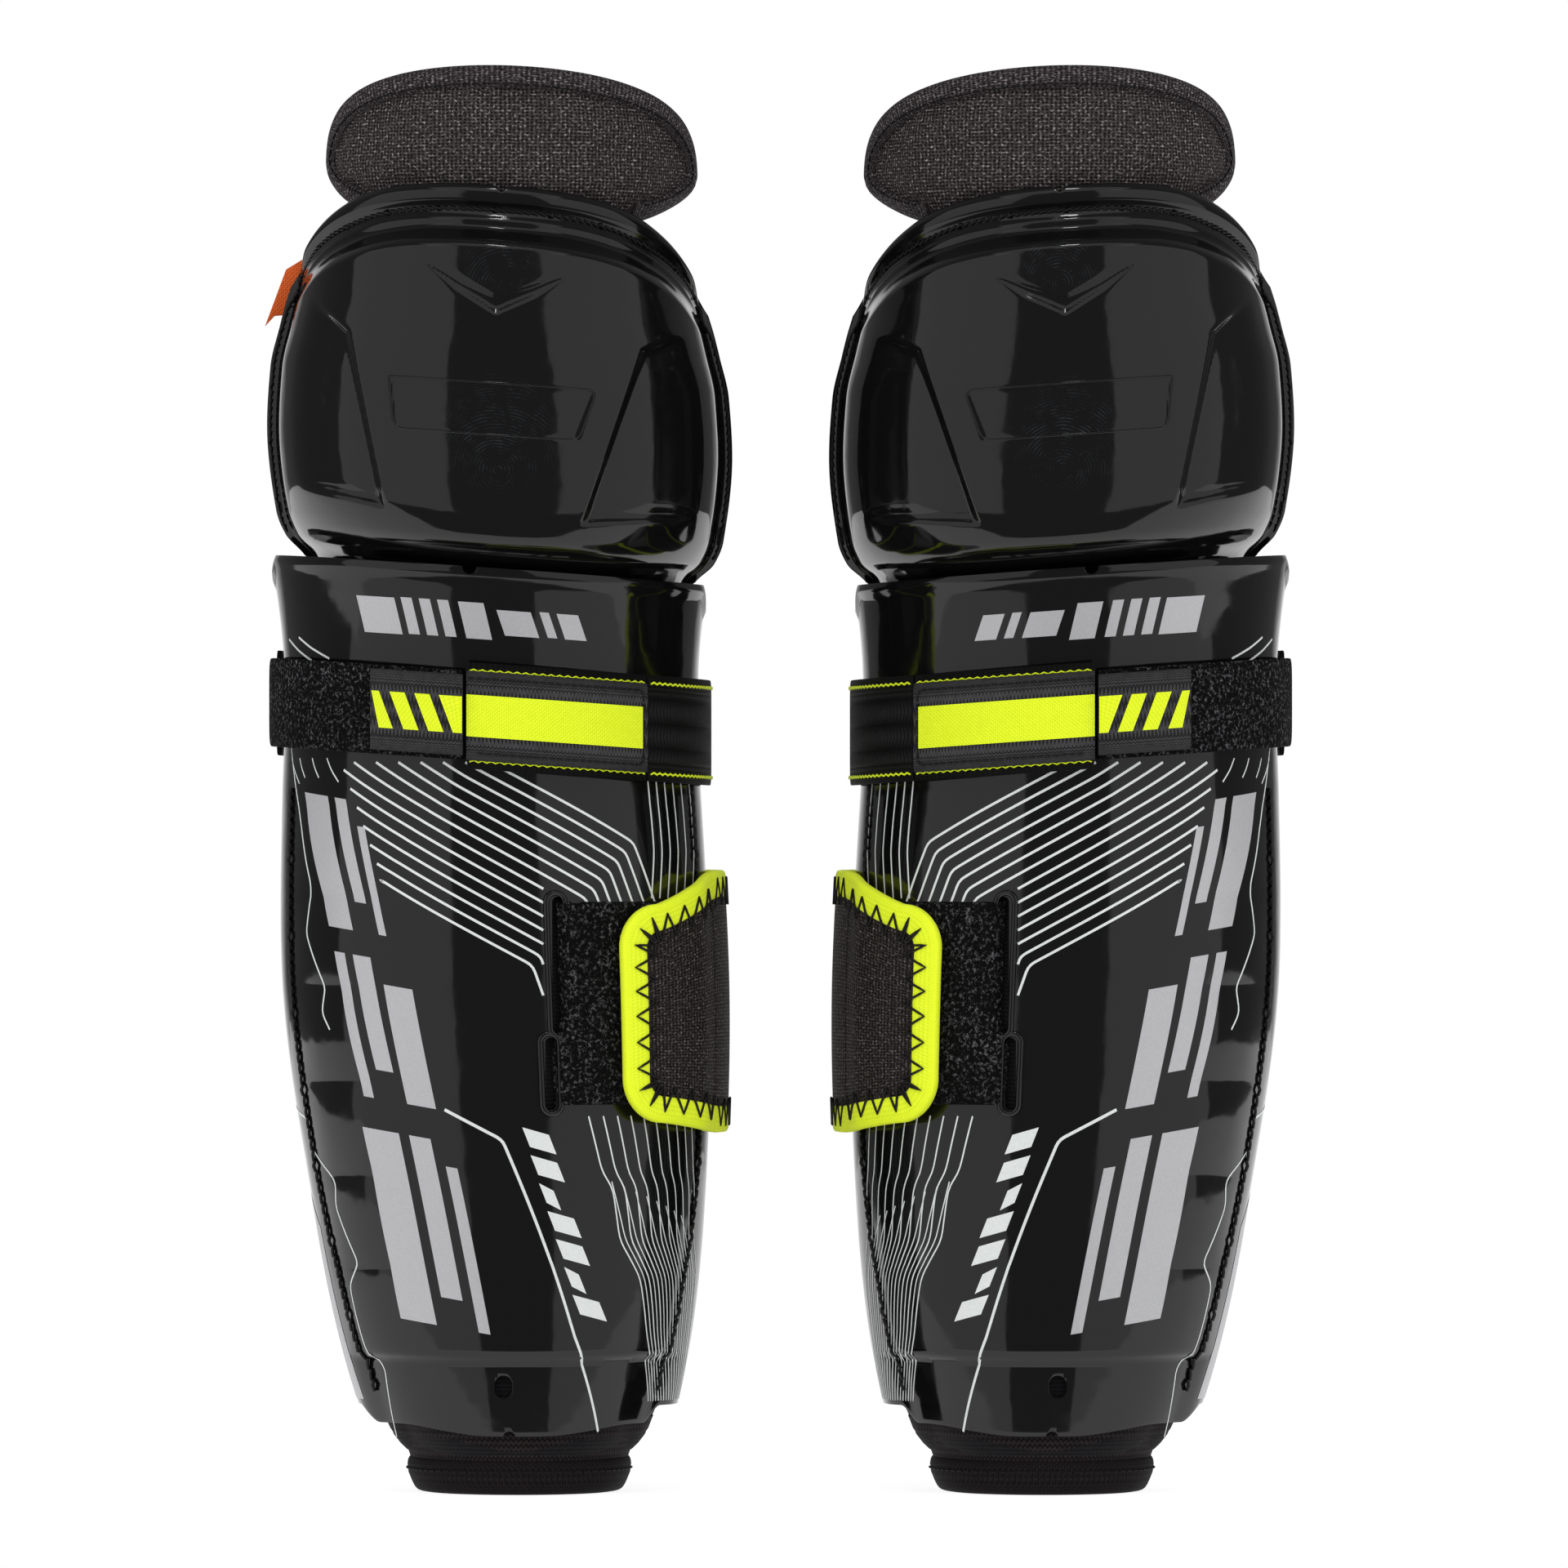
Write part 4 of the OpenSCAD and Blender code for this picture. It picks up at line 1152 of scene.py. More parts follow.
    @staticmethod
    def below(dots: Spots, top: float) -> list[tuple[float, float]]:
        """Return a line cut off where it rises past a height, reading it from its high end."""
        out = []
        for (x0, z0), (x1, z1) in zip(dots, dots[1:]):
            if z0 > top >= z1:
                share = (z0 - top) / (z0 - z1)
                out.append((mix(x0, x1, share), top))
            elif z0 <= top:
                out.append((x0, z0))
        return [*out, dots[-1]]

    def until_slot(self, dots: Spots) -> list[tuple[float, float]]:
        """Return a line cut off where it meets the rim of the upper slot, reading it from its far end."""
        rim_x, rim_z = 10.9, 143.4
        out = [dots[0]]
        for (x0, z0), (x1, z1) in zip(dots, dots[1:]):
            share = (rim_x - x0) / (x1 - x0) if x1 > x0 else 2.0
            if 0 <= share <= 1 and mix(z0, z1, share) < rim_z:
                return [*out, (rim_x, mix(z0, z1, share))]
            out.append((x1, z1))
        return out

    def figures(self) -> list[BMesh]:
        """Return three stacks of bold slanted bars down the outer side."""
        out = []
        stacks = (
            (165.0, 133.5, -45.6, 13.4, (0.42, 0.2, 0.13)),
            (127.6, 93.6, -38.0, 17.0, (0.14, 0.24, 0.4)),
            (86.4, 41.5, -31.4, 21.0, (0.4, 0.24, 0.13)),
        )
        for top, foot, left, wide, shares in stacks:
            gap = (1 - sum(shares)) / 2
            x = left
            for k, share in enumerate(shares):
                w = wide * share
                lean, drop = 0.2, 0.17
                level = top - (x - left) * drop
                up = level - (6.0 if k == 2 else 0.0)
                low = level - (top - foot) + (7.0 if k == 1 else 0.0)
                x0, x1 = x + lean * (level - low), x + lean * (level - up)
                fall = w * drop
                out.append(self.block([(x0, low), (x0 + w, low - fall), (x1 + w, up - fall), (x1, up)]))
                x += w + wide * gap
        return [*out, self.turned([(-87.5, 21.8), (-72, 21.8), (-77, 62), (-87.5, 70)])]

    def outlines(self) -> list[BMesh]:
        """Return the thin pale outlines, the slim line across the front and the bars beside it."""
        drawn = (
            ([(-49.2, 176.5), (-45.9, 154.8), (-43.9, 143.2), (-44.8, 131.5), (-40.6, 119.0), (-41.1, 113.1),
               (-39.1, 109.1)], 0.45),
            ([(-48.3, 90.6), (-45.8, 88.1)], 0.6),
            ([(-43.8, 80.6), (-38.1, 73.1), (-37.8, 67.3), (-32.8, 54.3), (-34.6, 48.9), (-30.8, 33.1),
               (-28.1, 29.7), (-25.3, 13.2)], 0.45),
            ([(-12.2, 90.6), (1.4, 83.5), (13.1, 53.9), (17.8, 38.9), (24.6, 14.9)], 0.75),
            ([(-49.6, 201.1), (-47.1, 198.2), (-42.5, 195.0)], 0.5),
            ([(-47.1, 201.5), (-44.2, 199.0), (-39.6, 196.4)], 0.5),
        )
        out = [self.ribbon(dots, width) for dots, width in drawn]
        for k, long in enumerate((6.2, 6.2, 3.4, 6.2, 6.2, 3.4, 6.2)):
            x, z = 6.0 + 1.95 * k, 86.5 - 6.55 * k
            foot = [(x + 1.8, z - 4.6), (x + long + 1.8, z - 6.4)]
            out.append(self.block([*foot, (x + long, z - 1.8), (x, z)]))
        return out

    def lip_figures(self) -> list[BMesh]:
        """Return the row of plain bars under the lip."""
        out = []
        bars = ((-33, 9), (-22.5, 2.6), (-18.2, 2.6), (-13.9, 2.6), (-9, 6), (0, 8), (10, 2.2), (14, 5))
        for k, (x, wide) in enumerate(bars):
            z = 206.1 - (x + wide / 2) * tand(4) - 1.2
            high = 8.6 if k < 5 else 6.0
            out.append(self.block([(x + 2, z - high / 2), (x + 2 + wide, z - high / 2 - wide * tand(4)),
                                   (x + wide, z + high / 2 - wide * tand(4)), (x, z + high / 2)]))
        return out

    def build(self) -> None:
        """Build the whole shell."""
        self.shell()
        self.slot_rims()
        self.edge_stitches()
        self.print_sheet("silver_figures", self.figures() + self.lip_figures(), SILVER)
        self.print_sheet("pinstripe_print", self.pinstripes() + self.outlines(), PALE)


@dataclass
class ShinLiner:
    """The foam liner behind the shell, its rolled ankle hem and the loop patch."""

    form: ShinForm
    bench: Bench
    wall: float = 6.0
    stand: float = -2.65
    wrap: float = 102.0
    top_z: float = 198.5
    hinge_y: float = -12.0
    hinge_z: float = 216.0
    knee_bend: float = 20.0

    def height(self, a: float, level: float) -> float:
        """Return the liner's true height, which dips behind the knee's hinge line."""
        y = self.form.at(a, self.top_z, self.stand).y
        swing = (self.hinge_z - self.top_z) * sind(self.knee_bend)
        dip = 1.2 * tand(self.knee_bend) * max(0.0, y - self.hinge_y + swing)
        return level - dip * ramp(level, self.form.waist_z - 20, self.top_z)

    def pinch(self, a: float, level: float) -> float:
        """Return how far the liner's foot draws in at both sides."""
        return 3.0 * (1 - ramp(level, self.form.hem_z, self.form.ledge_z)) * ramp(abs(a), 30, 75)

    def liner(self) -> None:
        """Build the liner as one smooth soft sheet; ribs() lays the upright channels on its inner face."""
        form = self.form

        def where(s: float, t: float) -> Vector:
            a = mix(-self.wrap, self.wrap, s)
            level = mix(form.foot_z + 0.3, self.top_z, t)
            off = self.stand - form.ledge_depth * form.ledge(a, level) - self.pinch(a, level)
            return form.at(a, self.height(a, level), off)

        mesh = settle(
            drape(90, 90, where, (180, 190)),
            solid(self.wall - 0.6),
            bevel(1.5, 3, 55),
            sharp=60,
        )
        self.bench.put("liner", mesh, "shins", LINING, ["shin_liner"], "lining", fill=0.5)

    def ribs(self) -> None:
        """Lay padded channels on the liner's inner face, with narrow gaps between them."""
        form = self.form
        edges = (-96, -70, -44, -15, 15, 44, 70, 96)
        for k, (a0, a1) in enumerate(zip(edges, edges[1:])):
            def where(s: float, t: float, r: float, a0: float = a0, a1: float = a1) -> Vector:
                a = mix(a0 + 1.2, a1 - 1.2, s)
                level = mix(form.foot_z + 14, self.top_z - 8, t)
                crown = (max(0.0, 4 * s * (1 - s)) ** 0.5) * (max(0.0, 1 - abs(2 * t - 1) ** 12) ** 0.5)
                base = self.stand - self.wall + 0.5
                base -= form.ledge_depth * form.ledge(a, level) + self.pinch(a, level)
                return form.at(a, self.height(a, level), base - (1 - r) * (0.3 + 2.4 * crown))

            mesh = settle(cushion(18, where, (18, 160)), sharp=80)
            self.bench.put(f"liner_channel_{k + 1}", mesh, "shins", KNEE_LINING, fill=0.5)

    def ankle_hem(self) -> None:
        """Roll the stitched foot of the liner."""
        lean, half, depth, thick = 4.7, 26.5, 31.0, 7.0
        front = 47 - 2.2 - 0.3 - 1.8

        def core(a: float, inset: float, z: float) -> Vector:
            return Vector((lean + (half - inset) * sind(a), depth - front - (depth - inset) * cosd(a), z))

        def where(s: float, t: float) -> Vector:
            a = mix(-self.wrap, self.wrap, s)
            d, h = rounded(-t, thick, 8.5, 0.45)
            end = min(1.0, (self.wrap - abs(a)) / 6.0)
            h *= mix(0.72, 1.0, math.sqrt(max(0.0, end * (2 - end))))
            tuck = 1.6 * (1 - ramp(h, -4.2, 1.5)) * ramp(abs(a), 35, 90)
            return core(a, thick / 2 - d + tuck, 4.3 + h)

        mesh = settle(tube(72, 36, where, (110, 31)), sharp=60)
        self.bench.put("ankle_hem_roll", mesh, "shins", HEM_BAND, ["ankle_hem"], "hem", fill=0.8)
        dots = walk(lambda t: core(mix(-95, 95, t), -0.12, 5.4), 2.6)
        self.bench.put("upper_hem_stitches", threads(dashes(dots, 0.72), 0.22), "shins", DULL_THREAD)

        def collar(s: float, t: float) -> Vector:
            a = mix(-96, 96, s)
            z = mix(7.6, 17.5, t)
            out = 0.7 * (1 - abs(2 * t - 1) ** 3)
            low = core(a, 0.9 - out, z)
            stand = self.stand - self.form.ledge_depth * self.form.ledge(a, z) - self.pinch(a, z)
            return low.lerp(self.form.at(a, z, stand + 0.25), ramp(t, 0.0, 0.75))

        mesh = settle(drape(64, 10, collar, (110, 9)), solid(1.2), sharp=60)
        self.bench.put("ankle_collar", mesh, "shins", HEM, slot="hem")

    def loop_patch(self) -> None:
        """Build the fuzzy patch that tucks into the slots."""
        form = self.form

        def where(s: float, t: float) -> Vector:
            z = mix(91.7, 139.3, t)
            a0 = mix(15.5, 18.0, ramp(z, 104, 112))
            a = mix(a0, 66.8, s)
            tuck = -1.6 * (1 - ramp(s, 0.0, 0.05))
            edge = min(1.0, min(s, t, 1 - t) / 0.02)
            return form.at(a, z, 0.7 + tuck + 1.05 * edge)

        mesh = settle(drape(60, 60, where, (42, 48)), solid(0.9), sharp=60)
        self.bench.put("loop_patch_pile", mesh, "shins", PILE, ["loop_patch"], "loop")

    def build(self) -> None:
        """Build the liner, hem and patch."""
        self.liner()
        self.ribs()
        self.ankle_hem()
        self.loop_patch()


# ---------------------------------------------------------------- the knee


@dataclass
class CapForm:
    """The knee cap: a domed shell inside a flat rim."""

    tail_z: float = 200.0
    lip_z: float = 217.5
    level_z: float = 248.0
    top_z: float = 307.0
    rise: float = 59.0
    rim_width: float = 10.5
    rim_flare: float = 2.0
    wrap_turn: float = 88.0
    slant: float = 4.0
    width: Curve = field(default_factory=lambda: Curve(
        [(200, 42), (214, 44.2), (218, 46.4), (222.5, 50.8), (228, 53), (248, 55.1), (262, 54.3), (272, 52),
         (281, 49.9), (307, 46.7)]))
    dome_front: Curve = field(default_factory=lambda: Curve(
        [(200, 44.5), (212, 45.6), (217.2, 48.6), (220.8, 56.5), (225, 61), (234, 63.2), (250, 64),
         (283.99, 59.5), (307, 54)]))
    rim_front: Curve = field(default_factory=lambda: Curve(
        [(200, 44.5), (226, 50.1), (248, 52.5), (307, 50.5)]))
    facets: tuple[tuple[tuple[float, float], ...], ...] = (
        ((-60, 44), (-35, 22.2), (-26.5, -17.8), (-60, -12.7)),
        ((60, 34), (34.6, 22.7), (20.6, -18.7), (60, -14.5)),
    )
    chevron: tuple[tuple[float, float], ...] = (
        (-17.5, 40.6), (0, 33.2), (17.5, 39.4), (9.5, 33.4), (0, 28.6), (-9.5, 34.0)
    )
    plate: tuple[tuple[float, float], ...] = ((-25, 12.4), (-23.8, 0.3), (19.5, 0.3), (23.7, 12.4))

    def edge(self, a: float) -> float:
        """Return the level of the rim's upper edge at turn a, without its notch."""
        return self.top_z - 0.44 * self.rise * (abs(a) / self.wrap_turn) ** 2.7

    def top(self, a: float) -> float:
        """Return the level of the rim's upper edge at turn a."""
        return self.edge(a) - 1.6 * math.exp(-((a - 1.5) / 1.4) ** 2)

    def margin(self, a: float) -> float:
        """Return the width of the rim at turn a."""
        return mix(self.rim_width, 9.0, ramp(abs(a), 45, 82))

    def seam(self, a: float) -> float:
        """Return how far below the rim's edge its stitch groove runs at turn a."""
        return mix(5.9, 3.6, ramp(abs(a), 45, 82))

    def foot(self, a: float) -> float:
        """Return the level of the tail's lower edge at turn a."""
        return self.tail_z + (self.lip_z + 0.4 - self.tail_z) * (abs(a) / self.wrap_turn) ** 2.6

    def dome(self, a: float, z: float) -> float:
        """Return the weight of the dome: none on the rim, full inside it."""
        m = self.margin(a)
        gone = self.edge(a) - z
        rise = 0.16 * ramp(gone, 0.66 * m, 0.8 * m) + 0.84 * ramp(gone, 0.9 * m, 1.4 * m)
        return rise * (1 - ramp(abs(a), 76, 82))

    def roll(self, a: float, z: float) -> float:
        """Return how far the rolled edge of the rim and its stitch groove stand off."""
        gone = (self.edge(a) - z) / self.seam(a)
        bead = max(0.0, math.sin(math.pi * clamp(gone / 0.82))) ** 0.7
        return (1.25 * bead - 0.45 * math.exp(-((gone - 1.0) / 0.125) ** 2)) * (1 - ramp(abs(a), 72, 84))

    def flat(self, a: float, z: float, off: float) -> Vector:
        """Return a point before the cap's slant."""
        w = self.width(z)
        d = mix(self.rim_front(z), self.dome_front(z), self.dome(a, z))
        square = mix(1, mix(0.8, 0.62, self.dome(a, z)), ramp(z, self.lip_z, self.lip_z + 18))
        off += self.roll(a, z)
        flange = 82.0
        c = cosd(a if abs(a) < flange else flange + 0.15 * (abs(a) - flange))
        share = clamp((abs(a) - flange) / (self.wrap_turn - flange))
        reach = self.rim_flare * share * (1 - ramp(z, 276, 293))
        x = (w - self.rim_flare + off) * sind(a) + math.copysign(reach, a)
        return Vector((x, -(d + off) * math.copysign(abs(c) ** square, c), z))

    def at(self, a: float, z: float, off: float = 0.0) -> Vector:
        """Return a point on the cap at turn a and level z, standing off by off."""
        p = self.flat(a, z, off)
        return Vector((p.x, p.y, p.z - p.x * tand(self.slant)))

    @staticmethod
    def inside(outline: Spots, x: float, h: float) -> float:
        """Return the distance from (x, h) to an outline, positive inside it."""
        best, odd = 1e9, False
        for (x0, y0), (x1, y1) in zip(outline, [*outline[1:], outline[0]]):
            dx, dy = x1 - x0, y1 - y0
            f = clamp(((x - x0) * dx + (h - y0) * dy) / (dx * dx + dy * dy))
            best = min(best, math.hypot(x - x0 - f * dx, h - y0 - f * dy))
            if (y0 > h) != (y1 > h) and x < x0 + (h - y0) * dx / dy:
                odd = not odd
        return best if odd else -best

    def pressed(self, a: float, z: float) -> float:
        """Return how deep the side facets, the chevron and the plate's recess are pressed there."""
        p = self.flat(a, z, 0.0)
        h = z - self.level_z
        deep = 0.0
        fade = 1 - ramp(abs(a), 48, 66)
        if fade > 0:
            for outline in self.facets:
                deep = max(deep, 1.6 * fade * ramp(self.inside(outline, p.x, h), -0.8, 1.5))
        if 26 < h < 44:
            deep = max(deep, 0.9 * ramp(self.inside(self.chevron, p.x, h), -0.6, 1.6))
        if -2 < h < 15:
            deep = max(deep, 0.35 * ramp(self.inside(self.plate, p.x, h), -0.2, 0.9))
        return deep


@dataclass
class KneeCap:
    """The glossy cap, its rope stitching and the padding inside it."""

    form: CapForm
    bench: Bench
    wall: float = 2.4
    bridge: float = 11.0

    def cap(self) -> None:
        """Mould the cap with its pressed facets."""
        form = self.form

        def where(s: float, t: float) -> Vector:
            u = 2 * s - 1
            a = form.wrap_turn * (0.74 * u + 0.26 * u ** 3)
            z = mix(form.foot(a), form.top(a), t)
            return form.at(a, z, -form.pressed(a, z))

        mesh = settle(
            drape(200, 180, where, (170, 107)),
            solid(self.wall),
            bevel(0.5, 2, 60),
            sharp=55,
        )
        self.bench.put("cap_moulding", mesh, "knee", CAP_SHELL, ["knee_cap"], "shell")
        self.plate_edge()

    def plate_edge(self) -> None:
        """Raise the thin moulded line round the plate's recess, with rounded corners."""
        form = self.form
        corners = [Vector(corner) for corner in form.plate]
        ring = []
        for k, (spot, radius) in enumerate(zip(corners, (0.6, 2.2, 2.6, 2.6))):
            before, after = corners[k - 1], corners[(k + 1) % len(corners)]
            a = spot.lerp(before, radius / (before - spot).length)
            b = spot.lerp(after, radius / (after - spot).length)
            ring += [a.lerp(spot, t).lerp(spot.lerp(b, t), t) for t in (0, 0.2, 0.4, 0.6, 0.8, 1)]
        path = []
        for a, b in zip(ring, [*ring[1:], ring[0]]):
            steps = max(1, int((b - a).length / 0.9))
            path += [a.lerp(b, i / steps) for i in range(steps)]
        dots = []
        for spot in path:
            z = form.level_z + spot.y
            turn = 0.0
            for _ in range(12):
                turn += math.degrees((spot.x - form.flat(turn, z, 0.0).x) / 55)
            dots.append(form.at(turn, z, -form.pressed(turn, z) - 0.1))
        self.bench.put("plate_outline", threads([dots], 0.3, 1, ring=True), "knee", CAP_SHELL, slot="shell")

    def rope(self) -> None:
        """Sew the cap to its padding with a twisted cord along the rim."""
        form = self.form

        def where(t: float) -> Vector:
            a = mix(-80, 80, t)
            return form.at(a, form.edge(a) - form.seam(a), 0.12)

        def side(t: float, sign: int) -> Vector:
            z = mix(form.edge(80) - form.seam(80), 222, t)
            return form.at(sign * mix(80, 85.4, ramp(t, 0.0, 0.14)), z, 0.15)

        dots = walk(where, 1.9)
        twist = twisted(dots, 0.3)
        for sign in (-1, 1):
            twist += twisted(walk(lambda t, sign=sign: side(t, sign), 1.9), 0.25)
        self.bench.put("rim_rope", threads(twist, 0.34, 1), "knee", THREAD)

    def knee_point(self, a: float, z: float, off: float) -> Vector:
        """Return a point on the padding, which bridges the cap's sharp bends."""
        near = [self.form.flat(a, z + share * self.bridge, off) for share in (-1, -0.5, 0, 0.5, 1)]
        x = math.copysign(min(abs(p.x) for p in near), a)
        y = -min(abs(p.y) for p in near)
        return Vector((x, y, z - x * tand(self.form.slant)))

    def levels(self, a: float) -> tuple[float, float]:
        """Return the levels of the padding's foot and top at turn a."""
        form = self.form
        foot = 198.5 + 0.9 + form.flat(a, form.tail_z, -2.8).x * tand(form.slant)
        return foot, min(form.top(a) - 4 - 4 * ramp(abs(a), 52, 68), 293 - 8 * ramp(abs(a), 15, 50))

    def padding(self) -> None:
        """Build the foam behind the cap."""

        def where(s: float, t: float) -> Vector:
            a = mix(-89.5, 89.5, s)
            foot, top = self.levels(a)
            return self.knee_point(a, mix(foot, top, t), -2.9)

        mesh = settle(
            drape(80, 60, where, (160, 90)),
            solid(5.6),
            bevel(1.4, 3, 55),
            sharp=60,
        )
        self.bench.put("knee_padding", mesh, "knee", LINING, ["knee_liner"], "lining", fill=0.5)

    def cup_pad(self) -> None:
        """Build the crowned pad that the knee rests in, with its sewn channels."""

        def where(s: float, t: float, r: float) -> Vector:
            a, z = mix(-42, 42, s), mix(226.3, 269.7, t)
            side = (max(0.0, 1 - (2 * s - 1) ** 6)) ** 0.5 * (max(0.0, 1 - (2 * t - 1) ** 6)) ** 0.5
            channel = 0.75 + 0.25 * abs(math.sin(3 * math.pi * s)) ** 0.5
            thick = 1.2 + 3.9 * side * channel
            return self.knee_point(a, z, -10.2 - (1 - r) * thick)

        mesh = settle(cushion(40, where, (58, 44)), sharp=70)
        self.bench.put("knee_cup_cushion", mesh, "knee", KNEE_LINING, ["knee_cup_pad"], "foam", fill=0.7)

    def tag(self) -> None:
        """Shape the small folded cloth tag at the outer side of the left guard's rim, as one flat piece of
        its outline.
        """
        outline = [(8.9, 17.5), (4.3, 14.7), (-0.7, 1.2), (1.6, 3.7), (4.4, 3.9), (8.9, 10)]
        y0 = self.form.at(-88, 248).y + 0.35
        bm = bmesh.new()
        face = bm.faces.new([bm.verts.new((-54.9 + x, y0, 274 + z)) for x, z in outline])
        bm.faces.ensure_lookup_table()
        extruded(bm, [face], (0, 1.1, 0))
        bmesh.ops.bevel(bm, geom=bm.edges[:], offset=0.22, offset_type="OFFSET", segments=2, profile=0.5,
                        affect="EDGES", material=-1)
        bmesh.ops.recalc_face_normals(bm, faces=bm.faces)
        uv = bm.loops.layers.uv.new("Cloth")
        for f in bm.faces:
            for loop in f.loops:
                loop[uv].uv = (loop.vert.co.x, loop.vert.co.z)
        self.bench.put("folded_tag", settle(bm), "knee", ORANGE, ["side_tag"], "tag", sides=[Side.LEFT])

    def build(self) -> None:
        """Build the whole knee."""
        self.cap()
        self.rope()
        self.padding()
        self.cup_pad()
        self.tag()


# ---------------------------------------------------------------- the thigh pad


@dataclass
class ThighPad:
    """The soft pouch above the knee, with binding sewn round its edge."""

    bench: Bench
    wrap: float = 76.0
    foot_z: float = 297.0
    tall: float = 38.4
    crown: float = 12.0
    edge: float = 4.0
    front: float = 47.5
    side: float = 45.35
    draw: float = 5.0
    lean: float = 2.9
    tape: float = 5.4

    def top(self, a: float) -> float:
        """Return the height of the pad's upper edge."""
        share = min(1.0, abs(a) / self.wrap)
        return self.foot_z + 0.38 * self.tall + 0.62 * self.tall * max(0.0, 1 - share ** 2) ** 0.45

    def foot(self, a: float) -> float:
        """Return the height of the pad's lower edge."""
        share = min(1.0, abs(a) / self.wrap)
        return self.foot_z + 15 - 15 * (1 - share ** 3) ** 0.6

    def at(self, a: float, z: float, off: float) -> Vector:
        """Return a point on the pad's front, standing off by off."""
        up = ramp(z, self.foot_z, self.foot_z + 14)
        w = self.side - self.draw * (1 - up)
        x = mix(0.6, self.lean, up) + (w + off) * sind(a)
        return Vector((x, -(self.front + off) * cosd(a), z - x * tand(2)))

    def pouch(self) -> None:
        """Fill the pouch with foam, by cloth simulation under a little pressure."""

        def where(s: float, t: float, r: float) -> Vector:
            a = mix(-self.wrap + 0.6, self.wrap - 0.6, s)
            foot, top = self.foot(a) + 0.4, self.top(a) - 0.8
            z = mix(foot, top, t)
            up = max(0.0, 4 * t * (1 - t)) ** 0.5
            across = max(0.0, 1 - (a / self.wrap) ** 2) ** 0.5
            thick = mix(self.edge - 0.8, self.crown - 3.0, up * across)
            return self.at(a, z, -1.0 - (1 - r) * thick)

        mm = self.side * math.pi / 180

        def laid(p: Vector) -> tuple[float, float]:
            return math.degrees(math.atan2(p.x - self.lean, -p.y)) * mm, p.z

        def held(p: Vector) -> float:
            turn = laid(p)[0] / mm
            inside = min(self.top(turn) - p.z, p.z - self.foot(turn)) - p.x * tand(2)
            free = ramp(inside, self.tape - 2.5, self.tape + 2.0)
            return 1 - free * (1 - ramp(abs(turn), self.wrap - 7, self.wrap - 4))

        mesh = swell(settle(cushion(34, where, (104, 38)), sharp=80), held, 3.0)
        map_cloth(mesh, laid)
        self.bench.put("thigh_pouch", mesh, "thigh", POUCH, ["thigh_pad"], "pouch", fill=0.6)

    def outline(self) -> list[tuple[Vector, Vector]]:
        """Return points round the pad's edge, as turn and height, with the way inwards at each in mm."""
        mm = self.side * math.pi / 180
        spots = []
        for k in range(361):
            t = 2 * k / 360 - 1
            if abs(t) > 0.8:
                share = mix(0.999, 0.62, (abs(t) - 0.8) / 0.2)
                spots.append(Vector((math.copysign(share, t) * self.wrap * mm, self.foot(share * self.wrap))))
            else:
                share = math.sin(math.pi / 2 * abs(t) / 0.8)
                spots.append(Vector((math.copysign(share, t) * self.wrap * mm, self.top(share * self.wrap))))
        out = []
        for k, spot in enumerate(spots):
            along = (spots[min(len(spots) - 1, k + 4)] - spots[max(0, k - 4)]).normalized()
            out.append((Vector((spot.x / mm, spot.y)), Vector((along.y / mm, -along.x))))
        return out

    def binding(self) -> None:
        """Fold the binding tape round the pad's edge and sew it down."""
        path = self.outline()

        def place(t: float, inset: float, off: float) -> Vector:
            spot, inwards = path[min(len(path) - 1, round(t * (len(path) - 1)))]
            p = spot + inwards * inset
            return self.at(p.x, p.y, off)

        def where(s: float, t: float) -> Vector:
            off, d = rounded(t, self.edge + 1.0, self.tape, 0.55)
            return place(s, self.tape / 2 - d, off - (self.edge + 0.2) / 2)

        mesh = settle(tube(180, 24, where, (150, 26)), ("SMOOTH", {"factor": 0.5, "iterations": 3}), sharp=70)
        self.bench.put("thigh_tape", mesh, "thigh", POUCH_TAPE, ["thigh_binding"], "pouch_tape")
        dots = walk(lambda t: place(t, self.tape - 0.9, 0.4), 2.4, 360)
        self.bench.put("thigh_stitches", threads(dashes(dots, 0.7), 0.2), "thigh", DULL_THREAD)

    def build(self) -> None:
        """Build the pad."""
        self.pouch()
        self.binding()


# ---------------------------------------------------------------- the calf wrap


